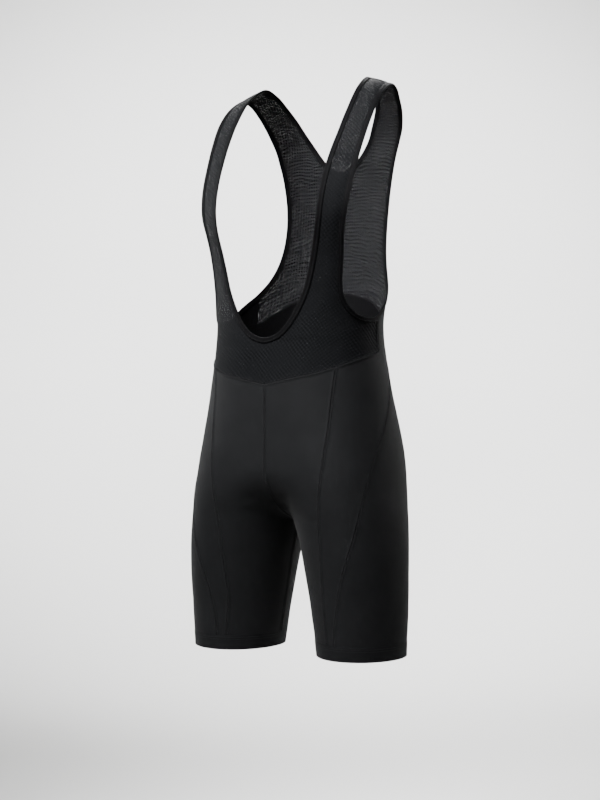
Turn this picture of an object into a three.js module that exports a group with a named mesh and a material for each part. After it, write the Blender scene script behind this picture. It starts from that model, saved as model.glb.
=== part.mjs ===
import * as THREE from "three";

// Cycling bib shorts, filled out as on a general figure. Lengths in millimetres.
// +Z is up, the front faces -Y and the wearer's left side is +X.
// Heights in the tables count from the hem. The last step moves the origin
// to the place between the shoulders where the straps are held.

// Wall thicknesses, and how far apart two pieces lie at a seam
const CLOTH = 1.4;
const BAND_CLOTH = 2;
const BINDING_CLOTH = 2.2;
const SEAM_GAP = 0.3;

// Strips sewn along the edges
const HEM_BAND = 23;
const BINDING = 7;

// Where the straps lie on the shoulders, above the hem and behind the middle
const SHOULDER = { y: 50, z: 890 };

// The crotch: its height, its place from front to back, and the gap between the thighs below it
const CROTCH = { z: 205, y: 5 };
const THIGH_GAP = { lean: 0.165, round: 3.1 };
// The centre seam climbs from the crotch to the belly and to the seat
const BELLY_CURVE = { height: 80, power: 1.8 };
const SEAT_CURVE = { height: 110, power: 1.8 };

// Cross-sections of one half. z: height above the hem. side, front, back: how far out each reaches.
// frontX, backX: where the front and back are furthest out. sideY: where the side is.
// round: 2 is an ellipse, more is squarer.
const BODY = [
  { z: 0, side: 180, front: -78.5, back: 71, frontX: 111, backX: 98, sideY: -2, round: 2 },
  { z: 70, side: 182, front: -82, back: 76.5, frontX: 119, backX: 94, sideY: -2, round: 2 },
  { z: 140, side: 181.5, front: -91.5, back: 88, frontX: 118.5, backX: 88, sideY: -2, round: 2 },
  { z: 205, side: 176.5, front: -99.5, back: 104.5, frontX: 106, backX: 81, sideY: -1, round: 2.05 },
  { z: 250, side: 170, front: -105, back: 116.5, frontX: 91, backX: 73.5, sideY: 2, round: 2.1 },
  { z: 295, side: 164.5, front: -107, back: 123.5, frontX: 70, backX: 66, sideY: 4, round: 2.15 },
  { z: 340, side: 157.5, front: -106.5, back: 119.5, frontX: 45, backX: 52, sideY: 4, round: 2.2 },
  { z: 411, side: 146.5, front: -106.5, back: 105.5, frontX: 17, backX: 25, sideY: 2, round: 2.2 },
  { z: 500, side: 134, front: -107, back: 99, frontX: 13, backX: 20, sideY: 1, round: 2.2 },
  { z: 583, side: 140.5, front: -107.5, back: 118, frontX: 24, backX: 26, sideY: 4, round: 2.2 },
  { z: 690, side: 155, front: -109, back: 137, frontX: 55, backX: 26, sideY: 8, round: 2.2 },
  { z: 800, side: 162, front: -80, back: 139.5, frontX: 55, backX: 30, sideY: 26, round: 2.3 },
];

// Seam from the waist down the front of the thigh to the hem
const FRONT_SEAM = [
  { z: 0, x: 91, y: -75 },
  { z: 42, x: 88, y: -76 },
  { z: 85, x: 84.5, y: -77.5 },
  { z: 130, x: 86, y: -85.5 },
  { z: 165, x: 88, y: -92 },
  { z: 206, x: 89, y: -98.5 },
  { z: 258, x: 94, y: -105 },
  { z: 302, x: 98.5, y: -102 },
  { z: 347, x: 102, y: -93.5 },
  { z: 391, x: 103.5, y: -86 },
  { z: 438, x: 106, y: -77.5 },
];

// Seam that leaves the hem beside the first one and winds back round the hip to the small of the back
const THIGH_SEAM = [
  { z: 0, x: 103.5, y: -78.5 },
  { z: 48, x: 106, y: -80 },
  { z: 86, x: 112.5, y: -83.6 },
  { z: 117, x: 120, y: -88 },
  { z: 147, x: 130, y: -90.7 },
  { z: 185, x: 141, y: -87.4 },
  { z: 218, x: 147, y: -81 },
  { z: 252, x: 151, y: -71 },
  { z: 300, x: 156, y: -48 },
  { z: 352, x: 156, y: -12 },
  { z: 400, x: 149, y: 22 },
  { z: 440, x: 138, y: 43 },
  { z: 480, x: 126, y: 55 },
  { z: 518, x: 117, y: 61 },
];

// Seam between the shorts and the bib, from the centre front to the side
const WAIST_SEAM = [
  { x: 0, y: -107, z: 415 },
  { x: 44, y: -105, z: 424 },
  { x: 76, y: -96, z: 430.5 },
  { x: 102, y: -81, z: 439 },
  { x: 124, y: -56, z: 450 },
  { x: 133, y: -32, z: 457.5 },
  { x: 138, y: 1, z: 465 },
];

// Top edge of the solid cloth over the small of the back, from the centre out
const BACK_ARCH = [
  { x: 0, y: 114, z: 567 },
  { x: 30, y: 113, z: 565 },
  { x: 58, y: 108, z: 558 },
  { x: 78, y: 99, z: 550 },
  { x: 94, y: 86, z: 538 },
  { x: 107, y: 73, z: 527 },
  { x: 117, y: 61, z: 518 },
];

// Finished edges of one bib half: from the front over the shoulder (row 15) to the back.
// Each row pairs a place on the neck edge with the place beside it on the armhole edge.
const BIB_EDGES = [
  { neckX: 0, neckY: -107, neckZ: 485.5, armX: 134, armY: 0, armZ: 519 },
  { neckX: 20, neckY: -107, neckZ: 491, armX: 133, armY: -17, armZ: 517 },
  { neckX: 33, neckY: -106.5, neckZ: 502, armX: 129, armY: -35, armZ: 518 },
  { neckX: 44, neckY: -105.5, neckZ: 516, armX: 123, armY: -51, armZ: 525 },
  { neckX: 55, neckY: -104.5, neckZ: 535, armX: 118, armY: -62, armZ: 537 },
  { neckX: 63.5, neckY: -103, neckZ: 554, armX: 115, armY: -68.5, armZ: 552 },
  { neckX: 70, neckY: -104, neckZ: 573, armX: 114.5, armY: -71, armZ: 572 },
  { neckX: 78, neckY: -104.5, neckZ: 607, armX: 117.5, armY: -73, armZ: 605 },
  { neckX: 85.5, neckY: -107, neckZ: 645, armX: 123.5, armY: -80, armZ: 643 },
  { neckX: 90, neckY: -105, neckZ: 685, armX: 130, armY: -83, armZ: 680 },
  { neckX: 92, neckY: -95, neckZ: 721, armX: 134.5, armY: -75, armZ: 718 },
  { neckX: 94, neckY: -78, neckZ: 758, armX: 137, armY: -59.5, armZ: 757 },
  { neckX: 97, neckY: -53, neckZ: 799, armX: 139.5, armY: -40, armZ: 797 },
  { neckX: 98, neckY: -25, neckZ: 839, armX: 141.5, armY: -17, armZ: 834 },
  { neckX: 97, neckY: 8, neckZ: 876, armX: 141, armY: 12, armZ: 864 },
  { neckX: 93, neckY: 48, neckZ: 900, armX: 139, armY: 45, armZ: 883 },
  { neckX: 88.5, neckY: 78.5, neckZ: 895, armX: 136.5, armY: 69, armZ: 881 },
  { neckX: 82, neckY: 102.5, neckZ: 878, armX: 133, armY: 86, armZ: 869 },
  { neckX: 72.5, neckY: 118.5, neckZ: 858, armX: 129.5, armY: 103, armZ: 852 },
  { neckX: 61.8, neckY: 128.3, neckZ: 837, armX: 124, armY: 115, armZ: 832 },
  { neckX: 48.6, neckY: 136, neckZ: 814, armX: 117.5, armY: 122.5, armZ: 810 },
  { neckX: 32, neckY: 138.7, neckZ: 791, armX: 111.5, armY: 126, armZ: 786 },
  { neckX: 15, neckY: 137.5, neckZ: 776, armX: 106, armY: 127, armZ: 764 },
  { neckX: 0, neckY: 137, neckZ: 771, armX: 101, armY: 126, armZ: 740 },
];
// The armhole edge goes on down the back to the underarm, where it closes
const BACK_ARMHOLE = [
  { x: 96.8, y: 124, z: 712 },
  { x: 94.5, y: 119.5, z: 680 },
  { x: 95.5, y: 111, z: 645 },
  { x: 101, y: 99, z: 612 },
  { x: 110, y: 84.5, z: 586 },
  { x: 120, y: 67, z: 566 },
  { x: 127, y: 52, z: 554 },
  { x: 131.5, y: 37, z: 543.5 },
  { x: 134.3, y: 19, z: 531 },
];
// Rows of BIB_EDGES between which the cloth leaves the body's sections and runs as a strap
const STRAP = { frontStart: 7, shoulder: 15, backEnd: 21, last: BIB_EDGES.length - 1, settle: 2 };
// Place on the armhole edge where the back panel meets the side of the shorts
const BACK_CORNER = STRAP.last + 6;
const UNDERARM = STRAP.last + BACK_ARMHOLE.length + 1;
const STRAP_CROWN = 2;

// Rows of points up the shorts, closer together at the crotch, up to where the hips end
const LEG_ROWS = [
  HEM_BAND, 48, 74, 100, 126, 151, 172, 188, 198, 203, CROTCH.z,
  206.5, 209.5, 214.5, 222, 232, 245, 262, 283, 307, 331, 356, 380,
];
// Rows on the thigh seam from there to the small of the back, and the one level with the side's waist
const HIP_ROWS = [380, 408, 437, 465, 483, 501, 518];
const SIDE_WAIST_ROW = 3;

// Columns of points across each piece
const COLUMNS = { front: 7, sideFront: 4, sideBack: 4, back: 11 };
const SIDE_RISE_ROWS = 5;
const BACK_EDGE_ROWS = 2;
const SECTION_STEPS = 24;

// Value of every column of a table at a key, by a smooth curve through its rows
function rowAt(table, key, at) {
  const last = table.length - 1;
  let i = 0;
  while (i < last - 1 && at > table[i + 1][key]) i++;
  const a = table[i];
  const b = table[i + 1];
  const before = table[Math.max(0, i - 1)];
  const after = table[Math.min(last, i + 2)];
  const span = b[key] - a[key];
  const t = Math.min(1, Math.max(0, (at - a[key]) / span));
  const row = {};
  for (const name of Object.keys(a)) {
    const straight = (b[name] - a[name]) / span;
    const slopeA = i === 0 ? straight : (b[name] - before[name]) / (b[key] - before[key]);
    const slopeB = i + 2 > last ? straight : (after[name] - a[name]) / (after[key] - a[key]);
    row[name] = hermite(a[name], span * slopeA, b[name], span * slopeB, t);
  }
  return row;
}

function hermite(a, slopeA, b, slopeB, t) {
  const t2 = t * t;
  const t3 = t2 * t;
  return (2 * t3 - 3 * t2 + 1) * a + (t3 - 2 * t2 + t) * slopeA + (3 * t2 - 2 * t3) * b + (t3 - t2) * slopeB;
}

const lerp = (a, b, t) => a + (b - a) * t;
const mix = (p, q, t) => p.clone().lerp(q, t);
const smooth = (t) => {
  const s = Math.min(1, Math.max(0, t));
  return s * s * (3 - 2 * s);
};

// Centre seam's reach at a drop above the crotch, from 0 at the crotch to 1 at the full belly or seat
function climb(curve, rise) {
  if (rise >= curve.height) return 1;
  return (1 - ((curve.height - rise) / curve.height) ** curve.power) ** (1 / curve.power);
}

// Inner quarter of a section, from the centre plane or the inseam out to its furthest point
function innerQuarter(edge, furthestX, innerX, reach) {
  const start = Math.asin(Math.min(reach, 0.99999));
  const lead = 1 - Math.cos(start);
  const points = [];
  for (let i = 0; i <= SECTION_STEPS; i++) {
    const angle = lerp(start, Math.PI / 2, i / SECTION_STEPS);
    const across = 1 - Math.cos(angle);
    const share = (across - lead) / (1 - lead);
    const grown = lead + share * (Math.hypot(1, lead) - lead);
    const x = reach > 0 ? furthestX * Math.sqrt(Math.max(0, grown ** 2 - lead ** 2)) : lerp(innerX, furthestX, across);
    points.push([x, CROTCH.y + (edge - CROTCH.y) * Math.sin(angle)]);
  }
  return points;
}

// Section of the left half at a height: from the centre front, or the inseam, round the side to the back
const sections = new Map();
function sectionAt(z) {
  const known = sections.get(z);
  if (known) return known;
  const row = rowAt(BODY, "z", z);
  const drop = Math.max(0, CROTCH.z - z);
  const rise = Math.max(0, z - CROTCH.z);
  const innerX = Math.hypot(THIGH_GAP.lean * drop, Math.sqrt(THIGH_GAP.round * drop));
  const power = 2 / row.round;
  const points = innerQuarter(row.front, row.frontX, innerX, climb(BELLY_CURVE, rise));
  for (let i = 1; i <= 2 * SECTION_STEPS; i++) {
    const angle = (Math.PI / 2) * (i / SECTION_STEPS);
    const behind = i > SECTION_STEPS;
    const furthestX = behind ? row.backX : row.frontX;
    const edge = behind ? row.back : row.front;
    points.push([
      furthestX + (row.side - furthestX) * Math.abs(Math.sin(angle)) ** power,
      row.sideY + (edge - row.sideY) * Math.abs(Math.cos(angle)) ** power,
    ]);
  }
  const inner = innerQuarter(row.back, row.backX, innerX, climb(SEAT_CURVE, rise));
  points.push(...inner.slice(0, -1).reverse());
  const lengths = [0];
  for (let i = 1; i < points.length; i++) {
    lengths.push(lengths[i - 1] + Math.hypot(points[i][0] - points[i - 1][0], points[i][1] - points[i - 1][1]));
  }
  const section = { points, lengths, total: lengths[lengths.length - 1] };
  sections.set(z, section);
  return section;
}

// Point on the left half: share is how far round the section it lies, 0 at the front and 1 at the back
function onBody(share, z) {
  const { points, lengths, total } = sectionAt(z);
  const along = Math.min(1, Math.max(0, share)) * total;
  let i = 1;
  while (i < points.length - 1 && lengths[i] < along) i++;
  const t = (along - lengths[i - 1]) / (lengths[i] - lengths[i - 1] || 1);
  return new THREE.Vector3(lerp(points[i - 1][0], points[i][0], t), lerp(points[i - 1][1], points[i][1], t), z);
}

// Share of the way round at which a section passes nearest to a place
function shareNear({ x, y, z }) {
  const { points, lengths, total } = sectionAt(z);
  let nearest = Infinity;
  let share = 0;
  for (let i = 1; i < points.length; i++) {
    const [ax, ay] = points[i - 1];
    const dx = points[i][0] - ax;
    const dy = points[i][1] - ay;
    const t = Math.min(1, Math.max(0, ((x - ax) * dx + (y - ay) * dy) / (dx * dx + dy * dy || 1)));
    const distance = Math.hypot(ax + t * dx - x, ay + t * dy - y);
    if (distance < nearest) {
      nearest = distance;
      share = lerp(lengths[i - 1], lengths[i], t) / total;
    }
  }
  return share;
}

const seamShare = (seam, z) => shareNear({ ...rowAt(seam, "z", z), z });
const frontSeamShare = (z) => seamShare(FRONT_SEAM, z);
const thighSeamShare = (z) => seamShare(THIGH_SEAM, z);

// Height of a seam that runs across the body, by share
const waistByShare = WAIST_SEAM.map((place) => ({ share: shareNear(place), z: place.z }));
const archByShare = BACK_ARCH.map((place) => ({ share: shareNear(place), z: place.z })).reverse();
archByShare[archByShare.length - 1].share = 1;
const waistHeight = (share) => rowAt(waistByShare, "share", share).z;
const archHeight = (share) => rowAt(archByShare, "share", share).z;
const sideShare = waistByShare[waistByShare.length - 1].share;
const sideWaist = WAIST_SEAM[WAIST_SEAM.length - 1].z;
const hipShare = thighSeamShare(HIP_ROWS[HIP_ROWS.length - 1]);

// Outward direction of the body's cloth
function bodyNormal(share, z) {
  const step = 1.5;
  const along = onBody(Math.min(1, share + 0.004), z).sub(onBody(Math.max(0, share - 0.004), z));
  const up = onBody(share, z + step).sub(onBody(share, z - step));
  return along.cross(up).normalize();
}

// Smooth closed or mirrored curves through the finished edges
const neckRows = BIB_EDGES.map((r) => new THREE.Vector3(r.neckX, r.neckY, r.neckZ));
const armRows = BIB_EDGES.map((r) => new THREE.Vector3(r.armX, r.armY, r.armZ)).concat(
  BACK_ARMHOLE.map((r) => new THREE.Vector3(r.x, r.y, r.z)),
);
const acrossCentre = (p) => new THREE.Vector3(-p.x, p.y, p.z);
function neckRow(i) {
  const last = neckRows.length - 1;
  if (i < 0) return acrossCentre(neckRows[-i]);
  if (i > last) return acrossCentre(neckRows[2 * last - i]);
  return neckRows[i];
}
const armRow = (i) => armRows[(i + armRows.length) % armRows.length];

function edgeAt(rowOf, at) {
  const i = Math.floor(at + 1e-9);
  const t = at - i;
  const [before, a, b, after] = [i - 1, i, i + 1, i + 2].map(rowOf);
  const value = (axis) =>
    hermite(a[axis], (b[axis] - before[axis]) / 2, b[axis], (after[axis] - a[axis]) / 2, t);
  return new THREE.Vector3(value("x"), value("y"), value("z"));
}
const edgeDirection = (rowOf, at) => edgeAt(rowOf, at + 0.02).sub(edgeAt(rowOf, at - 0.02)).normalize();

// How far the cloth beside a row of the edges has left the body's sections: 0 on the body, 1 on a strap
function strapShare(at) {
  const { frontStart, backEnd, settle } = STRAP;
  return Math.min(smooth((at - frontStart) / settle), smooth((backEnd - at) / settle));
}

// A place near the body moved onto it, as far as the row of the edges is still on the body
function settled(place, at) {
  const free = strapShare(at);
  return free >= 1 ? place : mix(onBody(shareNear(place), place.z), place, free);
}

// Finished edge and the seam a binding's width inside it, with the cloth's outward direction there
function edgePair(rowOf, otherRowOf, at, inward) {
  const finished = settled(edgeAt(rowOf, at), at);
  const direction = edgeDirection(rowOf, at);
  const free = strapShare(at);
  const normal = new THREE.Vector3();
  if (free < 1) normal.addScaledVector(bodyNormal(shareNear(finished), finished.z), 1 - free);
  if (free > 0) {
    const across = edgeAt(otherRowOf, at).sub(finished).multiplyScalar(inward);
    normal.addScaledVector(across.cross(direction).normalize(), free);
  }
  const inside = direction.clone().cross(normal.normalize()).multiplyScalar(inward).normalize();
  const seam = settled(finished.clone().addScaledVector(inside, BINDING), at);
  return { finished, seam };
}
const neckEdge = (at) => edgePair(neckRow, armRow, at, 1);
const armEdge = (at) => edgePair(armRow, neckRow, at, -1);

// Grids of points: rows that each hold the same number of points
const range = (count) => Array.from({ length: count + 1 }, (_, i) => i / count);
const steps = (from, to, count) => range(count).map((t) => lerp(from, to, t));

const place = (share, z) => ({ share, z });
const placeOf = (p) => place(p.x < 1e-6 ? (p.y < 0 ? 0 : 1) : shareNear(p), p.z);
const placed = (row) => row.map(({ share, z }) => onBody(share, z));
const between = (a, b, count, sag = 1) =>
  range(count).map((t) => place(lerp(a.share, b.share, t), lerp(a.z, b.z, t ** sag)));

// Fills a four-sided area of the body from its four sides
function filled(bottom, top, left, right) {
  const blend = (key, u, v, i, j) => {
    const across = lerp(left[j][key], right[j][key], u);
    const up = lerp(bottom[i][key], top[i][key], v);
    const low = lerp(bottom[0][key], bottom[bottom.length - 1][key], u);
    const high = lerp(top[0][key], top[top.length - 1][key], u);
    return across + up - lerp(low, high, v);
  };
  return range(left.length - 1).map((v, j) =>
    range(bottom.length - 1).map((u, i) => place(blend("share", u, v, i, j), blend("z", u, v, i, j))),
  );
}

// Rows across a panel of the left leg, from one seam to the next
const acrossLeg = (from, to, columns) => LEG_ROWS.map((z) => between(place(from(z), z), place(to(z), z), columns));
const centreFront = () => 0;
const centreBack = () => 1;

// Rows that climb from one row to another
const raised = (from, to, rows) =>
  rows.map((t) => from.map((p, i) => place(lerp(p.share, to[i].share, t), lerp(p.z, to[i].z, t))));

// Height at which the front seam meets the waist seam
const waistTop = [...Array(8)].reduce((z) => waistHeight(frontSeamShare(z)), 438);

function frontPanel() {
  const leg = acrossLeg(centreFront, frontSeamShare, COLUMNS.front);
  const top = leg[leg.length - 1];
  const waistEnd = frontSeamShare(waistTop);
  const waist = range(COLUMNS.front).map((t) => place(waistEnd * t, waistHeight(waistEnd * t)));
  return { leg, rise: raised(top, waist, range(SIDE_WAIST_ROW)), waist };
}

function sidePanel() {
  const columns = COLUMNS.sideFront + COLUMNS.sideBack;
  const leg = acrossLeg(frontSeamShare, thighSeamShare, columns);
  const top = leg[leg.length - 1];
  const waistStart = frontSeamShare(waistTop);
  const waist = steps(waistStart, sideShare, COLUMNS.sideFront).map((share) => place(share, waistHeight(share)));
  const lower = top.slice(0, COLUMNS.sideFront + 1);
  const rise = raised(lower, waist, range(SIDE_WAIST_ROW));
  const underarm = placeOf(armEdge(0).seam);
  const corner = placeOf(armEdge(BACK_CORNER).seam);
  const sideLine = rise.map((row) => row[COLUMNS.sideFront]);
  const sideSeam = between(place(sideShare, sideWaist), underarm, SIDE_RISE_ROWS);
  const backEdge = between(place(hipShare, HIP_ROWS[HIP_ROWS.length - 1]), corner, BACK_EDGE_ROWS);
  const left = sideLine.concat(sideSeam.slice(1));
  const right = HIP_ROWS.map((z) => place(thighSeamShare(z), z)).concat(backEdge.slice(1));
  const armhole = steps(UNDERARM, BACK_CORNER, COLUMNS.sideBack).map((at) => placeOf(armEdge(at).seam));
  armhole[0] = underarm;
  return {
    leg,
    rise,
    waist,
    sideSeam,
    backEdge,
    behind: filled(top.slice(COLUMNS.sideFront), armhole, left, right),
  };
}

function backPanel() {
  const leg = acrossLeg(thighSeamShare, centreBack, COLUMNS.back);
  const [low, high] = [HIP_ROWS[0], HIP_ROWS[HIP_ROWS.length - 1]];
  const rise = HIP_ROWS.map((z) =>
    steps(thighSeamShare(z), 1, COLUMNS.back).map((share) =>
      place(share, lerp(low, archHeight(Math.max(share, hipShare)), (z - low) / (high - low))),
    ),
  );
  return { leg, rise, arch: rise[rise.length - 1] };
}

const front = frontPanel();
const side = sidePanel();
const back = backPanel();

// Strap rows between two edges: the first row's own curve fades into a slightly crowned band
function strap(firstRow, from, to, rows) {
  const columns = firstRow.length - 1;
  const crown = (at) => {
    const [neck, arm] = [neckEdge(at).seam, armEdge(at).seam];
    const across = arm.clone().sub(neck);
    const normal = across.cross(edgeDirection(neckRow, at)).normalize();
    return normal.multiplyScalar(STRAP_CROWN);
  };
  return steps(from, to, rows).map((at, j) => {
    if (j === 0) return firstRow;
    const v = j / rows;
    const [neck, arm] = [neckEdge(at).seam, armEdge(at).seam];
    const top = crown(at);
    return range(columns).map((u, i) => {
      const chord = mix(firstRow[0], firstRow[columns], u);
      const curve = firstRow[i].clone().sub(chord).multiplyScalar((1 - v) ** 2);
      return mix(neck, arm, u).add(curve).addScaledVector(top, 4 * u * (1 - u) * (1 - (1 - v) ** 2));
    });
  });
}

// Rows on the body between the two edges of the bib. The first ones sag, to stay below the scoop of the neck
function bibRows(from, to, rows, columns) {
  return steps(from, to, rows).map((at) => {
    const sag = Math.max(1, 2 - at / 3);
    return between(placeOf(neckEdge(at).seam), placeOf(armEdge(at).seam), columns, sag);
  });
}

function bibFront() {
  const waist = front.waist.concat(side.waist.slice(1));
  const columns = waist.length - 1;
  const over = bibRows(0, STRAP.frontStart, 2 * STRAP.frontStart, columns);
  const scoop = over[0][0];
  const belly = filled(waist, over[0], between(waist[0], scoop, SIDE_RISE_ROWS), side.sideSeam);
  const onTheBody = belly.concat(over.slice(1)).map(placed);
  const rows = 2 * (STRAP.shoulder - STRAP.frontStart);
  return onTheBody.concat(strap(onTheBody[onTheBody.length - 1], STRAP.frontStart, STRAP.shoulder, rows).slice(1));
}

function bibBack() {
  const columns = COLUMNS.back;
  const arch = back.arch.slice().reverse();
  const beside = steps(BACK_CORNER, STRAP.last, 2 * (BACK_CORNER - STRAP.last)).map((at) => placeOf(armEdge(at).seam));
  const outer = side.backEdge.concat(beside.slice(1));
  const centre = between(arch[0], placeOf(neckEdge(STRAP.last).seam), outer.length - 1);
  const over = bibRows(STRAP.last, STRAP.backEnd, 2 * (STRAP.last - STRAP.backEnd), columns);
  const onTheBody = filled(arch, over[0], centre, outer).concat(over.slice(1)).map(placed);
  const rows = 2 * (STRAP.backEnd - STRAP.shoulder);
  return onTheBody.concat(strap(onTheBody[onTheBody.length - 1], STRAP.backEnd, STRAP.shoulder, rows).slice(1));
}

// Binding strips: rows that run from the seam to the finished edge
function strip(edge, at) {
  const { finished, seam } = edge(at);
  return [seam, mix(seam, finished, 0.5), finished];
}
const halfSteps = (from, to) => steps(from, to, 2 * Math.abs(to - from));
function armBinding() {
  const rows = halfSteps(0, BACK_CORNER).concat(steps(BACK_CORNER, UNDERARM, COLUMNS.sideBack).slice(1));
  return rows.map((at) => strip(armEdge, at % UNDERARM));
}
const neckBinding = () => halfSteps(0, STRAP.last).map((at) => strip(neckEdge, at));

// Hem band: a ring below the three panels of a leg
function hemBand() {
  const ring = front.leg[0].concat(side.leg[0].slice(1), back.leg[0].slice(1));
  return range(2).map((t) => ring.map(({ share }, i) => {
    const z = HEM_BAND * t;
    const [a, b] = [frontSeamShare, thighSeamShare].map((seam) => seam(z) / seam(HEM_BAND));
    const [fromA, fromB] = [front.leg[0][COLUMNS.front].share, side.leg[0][side.leg[0].length - 1].share];
    if (i <= COLUMNS.front) return place(share * a, z);
    if (share <= fromB) return place(lerp(fromA * a, fromB * b, (share - fromA) / (fromB - fromA)), z);
    return place(1 - (1 - share) * ((1 - fromB * b) / (1 - fromB)), z);
  }));
}

// A piece of cloth: its grids, its wall and its colour
const mirrored = (grid) => grid.map((row) => row.map(acrossCentre));
const reversed = (grid) => grid.map((row) => row.slice().reverse());
const rightOf = (grids) => grids.map((grid) => reversed(mirrored(grid)));

const leftGrids = {
  leg_front: [front.leg, front.rise].map((grid) => grid.map(placed)),
  leg_side: [side.leg, side.rise, side.behind].map((grid) => grid.map(placed)),
  leg_back: [back.leg, back.rise].map((grid) => grid.map(placed)),
  hem_band: [hemBand().map(placed)],
  armhole_binding: [armBinding()],
};
const bibFrontGrid = bibFront();
const bibBackGrid = reversed(bibBack());
const neckGrid = reversed(neckBinding());

const LYCRA = { wall: CLOTH, colour: 0x242527 };
const MESH = { wall: CLOTH, colour: 0x303236 };
const EDGE = { wall: BINDING_CLOTH, colour: 0x17181a };
const BAND = { wall: BAND_CLOTH, colour: 0x202123 };

const pieces = [];
for (const [name, cloth] of Object.entries({
  leg_front: LYCRA,
  leg_side: LYCRA,
  leg_back: LYCRA,
  hem_band: BAND,
  armhole_binding: EDGE,
})) {
  pieces.push({ name: name + "_left", grids: leftGrids[name], ...cloth });
  pieces.push({ name: name + "_right", grids: rightOf(leftGrids[name]), ...cloth });
}
pieces.push({ name: "bib_front", grids: [bibFrontGrid, ...rightOf([bibFrontGrid])], ...MESH });
pieces.push({ name: "bib_back", grids: [bibBackGrid, ...rightOf([bibBackGrid])], ...MESH });
pieces.push({ name: "neck_binding", grids: [neckGrid, ...rightOf([neckGrid])], ...EDGE });

// Sheet of a piece: points that coincide are one point, and faces look outwards
const keyOf = (p) => [p.x, p.y, p.z].map((value) => Math.round(value * 50)).join(",");
function sheetOf(grids) {
  const points = [];
  const index = new Map();
  const at = (p) => {
    const key = keyOf(p);
    if (!index.has(key)) {
      index.set(key, points.length);
      points.push(p.clone());
    }
    return index.get(key);
  };
  const faces = [];
  const add = (...corners) => {
    if (new Set(corners).size === 3) faces.push(corners);
  };
  for (const grid of grids) {
    for (let j = 0; j + 1 < grid.length; j++) {
      for (let i = 0; i + 1 < grid[j].length; i++) {
        const [a, b, c, d] = [grid[j][i], grid[j][i + 1], grid[j + 1][i + 1], grid[j + 1][i]].map(at);
        const [fromA, fromB] = [points[a].distanceTo(points[c]), points[b].distanceTo(points[d])];
        if (fromA <= fromB + 1e-4) {
          add(a, b, c);
          add(a, c, d);
        } else {
          add(a, b, d);
          add(b, c, d);
        }
      }
    }
  }
  return { points, faces };
}

// Outward direction at every point of the cloth, shared by the pieces that meet there
const directions = new Map();
for (const piece of pieces) {
  piece.sheet = sheetOf(piece.grids);
  const { points, faces } = piece.sheet;
  for (const [a, b, c] of faces) {
    const out = points[b].clone().sub(points[a]).cross(points[c].clone().sub(points[a]));
    for (const corner of [a, b, c]) {
      const key = keyOf(points[corner]);
      directions.set(key, (directions.get(key) ?? new THREE.Vector3()).add(out));
    }
  }
}

// Edges of a sheet that only one face uses, in the order in which that face runs
function openEdges(faces) {
  const used = new Set();
  for (const [a, b, c] of faces) for (const [p, q] of [[a, b], [b, c], [c, a]]) used.add(p + "," + q);
  return [...used].map((key) => key.split(",").map(Number)).filter(([p, q]) => !used.has(q + "," + p));
}

// Solid of a piece: its sheet drawn in at the seams and given its wall on both sides
function solidOf({ sheet, wall }) {
  const { points, faces } = sheet;
  const normals = points.map((p) => directions.get(keyOf(p)).clone().normalize());
  const open = openEdges(faces);
  const inward = points.map(() => []);
  for (const [p, q] of open) {
    for (const corner of [p, q]) {
      const along = points[q].clone().sub(points[p]).normalize();
      inward[corner].push(normals[corner].clone().cross(along).normalize());
    }
  }
  const drawn = points.map((p, i) => {
    if (inward[i].length < 2) return p;
    const [one, two] = inward[i];
    const meet = Math.max(0.25, 1 + one.dot(two));
    return p.clone().addScaledVector(one.clone().add(two), SEAM_GAP / 2 / meet);
  });
  const outside = drawn.map((p, i) => p.clone().addScaledVector(normals[i], wall / 2));
  const inside = drawn.map((p, i) => p.clone().addScaledVector(normals[i], -wall / 2));
  const all = outside.concat(inside);
  const count = points.length;
  const index = [];
  for (const [a, b, c] of faces) index.push(a, b, c, a + count, c + count, b + count);
  for (const [p, q] of open) index.push(p, p + count, q, q, p + count, q + count);
  const geometry = new THREE.BufferGeometry();
  geometry.setAttribute("position", new THREE.Float32BufferAttribute(all.flatMap((p) => p.toArray()), 3));
  geometry.setIndex(index);
  geometry.computeVertexNormals();
  return geometry;
}

const shorts = new THREE.Group();
shorts.name = "cycling_bib_shorts";
for (const piece of pieces) {
  const material = new THREE.MeshStandardMaterial({ color: piece.colour, roughness: 0.75 });
  const mesh = new THREE.Mesh(solidOf(piece), material);
  mesh.name = piece.name;
  mesh.geometry.translate(0, -SHOULDER.y, -SHOULDER.z);
  shorts.add(mesh);
}

export default shorts;
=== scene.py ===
# %% [markdown]
# Cycling bib shorts, filled out as on a general figure.
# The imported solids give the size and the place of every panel. Here each panel is made again as
# sewn cloth, with finer shape, stitching and its own finish, in the same frame and to the same size.

# %% Load the solids
import math
import bpy
import numpy as np
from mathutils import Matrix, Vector, kdtree, noise


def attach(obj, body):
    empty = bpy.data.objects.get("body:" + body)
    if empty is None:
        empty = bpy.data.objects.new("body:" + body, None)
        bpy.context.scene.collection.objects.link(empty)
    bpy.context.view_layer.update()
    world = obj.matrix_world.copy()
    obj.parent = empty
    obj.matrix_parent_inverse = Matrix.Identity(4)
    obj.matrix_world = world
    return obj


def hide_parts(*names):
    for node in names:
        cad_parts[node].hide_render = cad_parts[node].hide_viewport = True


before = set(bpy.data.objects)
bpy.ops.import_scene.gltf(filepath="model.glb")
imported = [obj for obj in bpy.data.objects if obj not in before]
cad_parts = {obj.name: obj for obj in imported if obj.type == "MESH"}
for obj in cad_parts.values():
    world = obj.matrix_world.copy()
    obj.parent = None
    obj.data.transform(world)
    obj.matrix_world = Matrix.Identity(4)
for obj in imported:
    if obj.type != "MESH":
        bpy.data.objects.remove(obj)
bpy.context.view_layer.update()

# %% [markdown]
# The camera comes first. It stands in front and to the wearer's left, level, at hip height.
# Its place was worked out from the photograph: the legs' outlines, the scoop and the straps
# only fall where they do for one distance, one height and one lens.

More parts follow.
